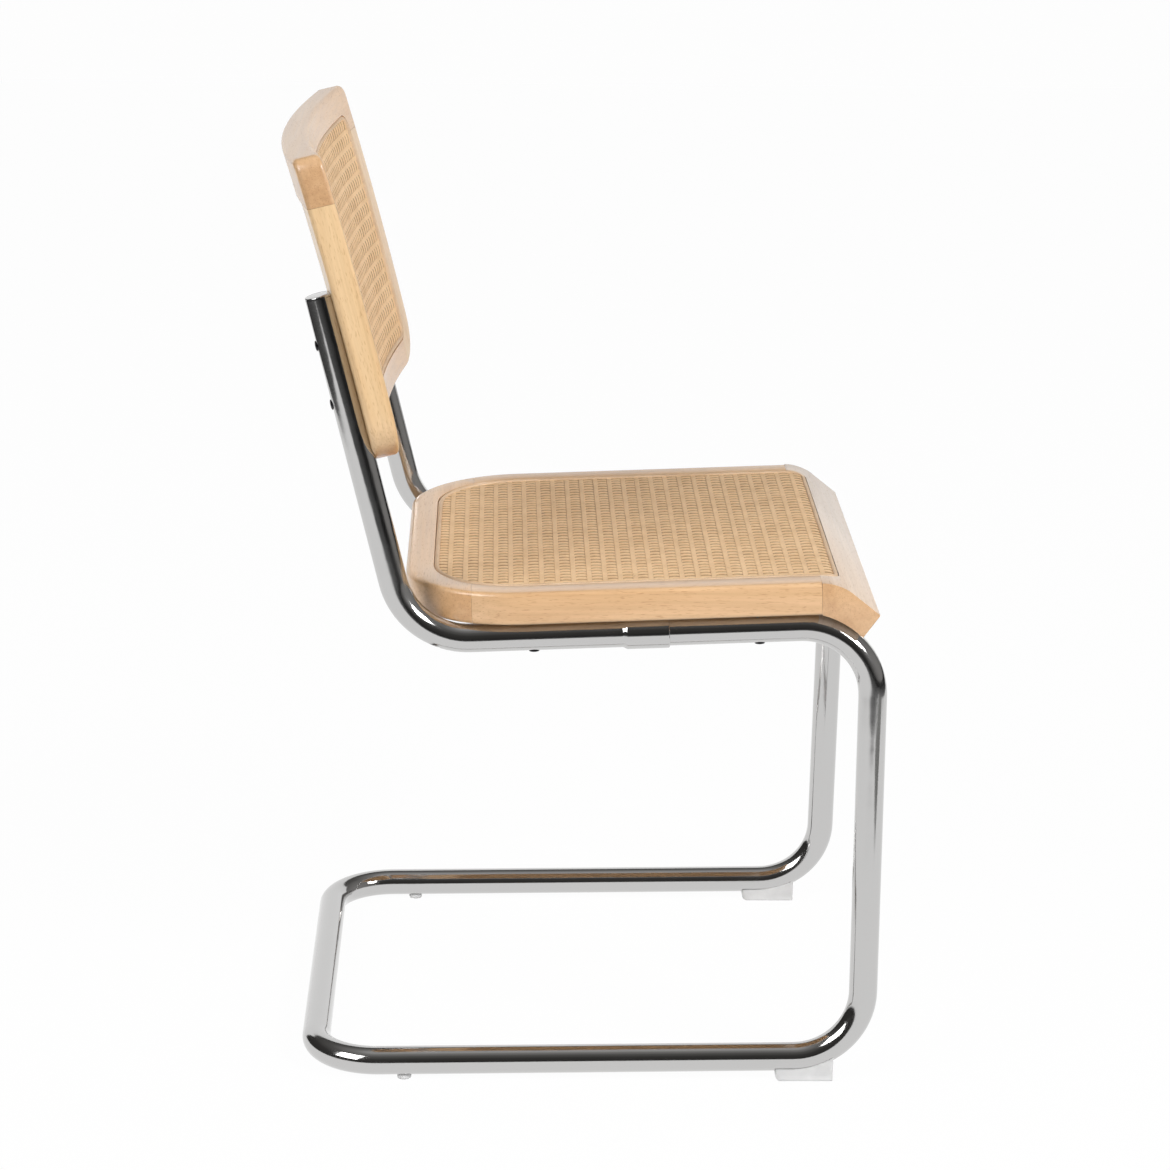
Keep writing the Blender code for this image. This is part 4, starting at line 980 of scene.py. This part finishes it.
dark_plate = metal_finish("dark_zinc_plate", (0.05, 0.05, 0.055), (0.13, 0.13, 0.14), 0.3, 0.5)
zinc = metal_finish("zinc_alloy", (0.42, 0.41, 0.37), (0.58, 0.56, 0.50), 0.35, 0.55)
dowel_beech = beech_finish("dowel_beech", ALONG_Y, (0.1, 0.1, 0.1))
for name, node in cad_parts.items():
    for ending, finish in (("_bolt", dark_plate), ("_insert", zinc), ("_dowel", dowel_beech)):
        if name.endswith(ending):
            node.data.materials.clear()
            node.data.materials.append(finish)

# Studio: white paper under the chair, all round it and up behind it. Dark felt beyond the near paper and
# grey felt beside it are flags for the chrome, which the view doesn't show. Two broad soft lamps stand to
# the left and right of the view, in a dim room. Seen from below, the paper is clear.
PAPER_GLOW = 0.975
CHAIR_MIDDLE = (0, 0, 0.45)
CAMERA_PLACE = (-3.0367, 0.0763, 1.2792)


def either(tree, first, second):
    """A factor that is one for a ray of either kind."""
    both = add_node(tree, "Math", {"operation": "ADD", "use_clamp": True}, i0=first, i1=second)
    return both.outputs["Value"]


def white_finish(name):
    """White paper that the camera and reflections see close to white, with the chair's shadow kept."""
    finish, tree, shader = start_finish(name, Roughness=0.9, Specular_IOR_Level=0.1)
    place = add_node(tree, "TexCoord").outputs["Object"]
    grain = add_noise(tree, place, 40.0, 3.0)
    white = add_ramp(tree, grain, (0.3, (0.88, 0.88, 0.88)), (0.7, (0.90, 0.90, 0.90)))
    tree.links.new(white, shader.inputs["Base Color"])
    ray = add_node(tree, "LightPath").outputs
    seen = either(tree, ray["Is Camera Ray"], ray["Is Glossy Ray"])
    seen = either(tree, seen, ray["Is Transmission Ray"])
    share = add_node(tree, "Math", {"operation": "MULTIPLY"}, i0=seen, i1=PAPER_GLOW).outputs["Value"]
    glow = add_node(tree, "Emission", Strength=1.0, Color=(1, 1, 1, 1)).outputs["Emission"]
    lit = add_node(tree, "MixShader", i0=share, i1=shader.outputs["BSDF"], i2=glow).outputs["Shader"]
    below = add_node(tree, "NewGeometry").outputs["Backfacing"]
    clear = add_node(tree, "BsdfTransparent").outputs["BSDF"]
    one_sided = add_node(tree, "MixShader", i0=below, i1=lit, i2=clear).outputs["Shader"]
    tree.links.new(one_sided, tree.nodes["Material Output"].inputs["Surface"])
    return finish


def felt_finish(name, dark, pale):
    """Felt with a short pile."""
    finish, tree, shader = start_finish(name, Roughness=1.0, Specular_IOR_Level=0.0)
    place = add_node(tree, "TexCoord").outputs["Object"]
    pile = add_noise(tree, place, 300.0, 3.0)
    tree.links.new(add_ramp(tree, pile, (0.3, dark), (0.7, pale)), shader.inputs["Base Color"])
    return finish


def stage_sheet(name, size, place, finish, turn=Matrix.Identity(4), flag=False):
    """A flat sheet of the studio, given by its width along X and Y before it is turned. The view doesn't
    show a flag."""
    bm = bmesh.new()
    bmesh.ops.create_grid(bm, x_segments=1, y_segments=1, size=0.5)
    bmesh.ops.scale(bm, vec=(*size, 1), verts=bm.verts)
    bmesh.ops.transform(bm, matrix=Matrix.Translation(place) @ turn, verts=bm.verts)
    mesh = bpy.data.meshes.new(name)
    bm.to_mesh(mesh)
    bm.free()
    mesh.materials.append(finish)
    sheet = bpy.data.objects.new(name, mesh)
    sheet.visible_camera = not flag
    bpy.context.scene.collection.objects.link(sheet)


paper = white_finish("white_paper")
dark_felt = felt_finish("dark_felt", (0.07, 0.07, 0.07), (0.11, 0.11, 0.11))
grey_felt = felt_finish("grey_felt", (0.16, 0.16, 0.155), (0.22, 0.22, 0.215))
stage_sheet("paper_floor", (3.1, 3.28), (-0.35, -0.26, 0), paper)
stage_sheet("rear_paper_floor", (4.8, 4.6), (3.6, 0, 0), paper)
stage_sheet("paper_backdrop", (9, 12), (6, 0, 0), paper, Matrix.Rotation(-math.pi / 2, 4, "Y"))
stage_sheet("wide_paper_floor", (40, 40), (0, 0, -0.006), paper)
stage_sheet("dark_flag", (40, 40), (0, 0, -0.003), dark_felt, flag=True)
stage_sheet("grey_flag", (0.9, 1.1), (-1.25, -1.5, 0.002), grey_felt, flag=True)


def soft_lamp(name, place, aim, size, power):
    lamp = bpy.data.lights.new(name, "AREA")
    lamp.shape = "RECTANGLE"
    lamp.size, lamp.size_y = size
    lamp.energy = power
    holder = bpy.data.objects.new(name, lamp)
    holder.location = place
    holder.rotation_euler = (Vector(aim) - Vector(place)).to_track_quat("-Z", "Y").to_euler()
    bpy.context.scene.collection.objects.link(holder)


soft_lamp("front_lamp", (-2.2, -2.7, 2.4), CHAIR_MIDDLE, (1.3, 1.3), 130)
soft_lamp("rear_lamp", (-2.2, 2.7, 2.4), CHAIR_MIDDLE, (2.2, 2.2), 100)

world = bpy.data.worlds.new("studio_room")
bpy.context.scene.world = world
world.use_nodes = True
tree = world.node_tree
toward = add_node(tree, "TexCoord").outputs["Generated"]
toward = add_node(tree, "SeparateXYZ", Vector=toward).outputs
room = add_ramp(tree, toward["Z"], (0.0, (0.036, 0.035, 0.033)), (0.47, (0.050, 0.048, 0.046)),
                (0.78, (0.120, 0.117, 0.113)), (0.94, (0.26, 0.255, 0.25)), (1.0, (0.46, 0.455, 0.45)))
frontward = add_node(tree, "MapRange", Value=toward["Y"], i1=0.0, i2=-1.0).outputs["Result"]
front_wall = add_ramp(tree, frontward, (0.45, (0.0, 0.0, 0.0)), (1.0, (0.24, 0.235, 0.23)))
room = add_node(tree, "Mix", {"data_type": "RGBA", "blend_type": "ADD"}, i0=1.0, i6=room,
                i7=front_wall).outputs[2]
ray = add_node(tree, "LightPath").outputs
seen = either(tree, ray["Is Camera Ray"], ray["Is Transmission Ray"])
room = add_node(tree, "Mix", {"data_type": "RGBA"}, i0=seen, i6=room, i7=(1, 1, 1, 1)).outputs[2]
tree.links.new(room, tree.nodes["Background"].inputs["Color"])

camera = bpy.data.cameras.new("photo_camera")
camera.sensor_width = 36.0
camera.lens = 106.31
camera.clip_end = 100
holder = bpy.data.objects.new("photo_camera", camera)
view_right = Vector((-0.0239, -0.9997, 0.0102))
view_up = Vector((0.2807, 0.0031, 0.9598))
view_back = Vector((-0.9595, 0.0258, 0.2806))
view_axes = Matrix((view_right, view_up, view_back)).transposed().to_4x4()
holder.matrix_world = Matrix.Translation(CAMERA_PLACE) @ view_axes
bpy.context.scene.collection.objects.link(holder)
bpy.context.scene.camera = holder
bpy.context.scene.view_settings.view_transform = "Standard"
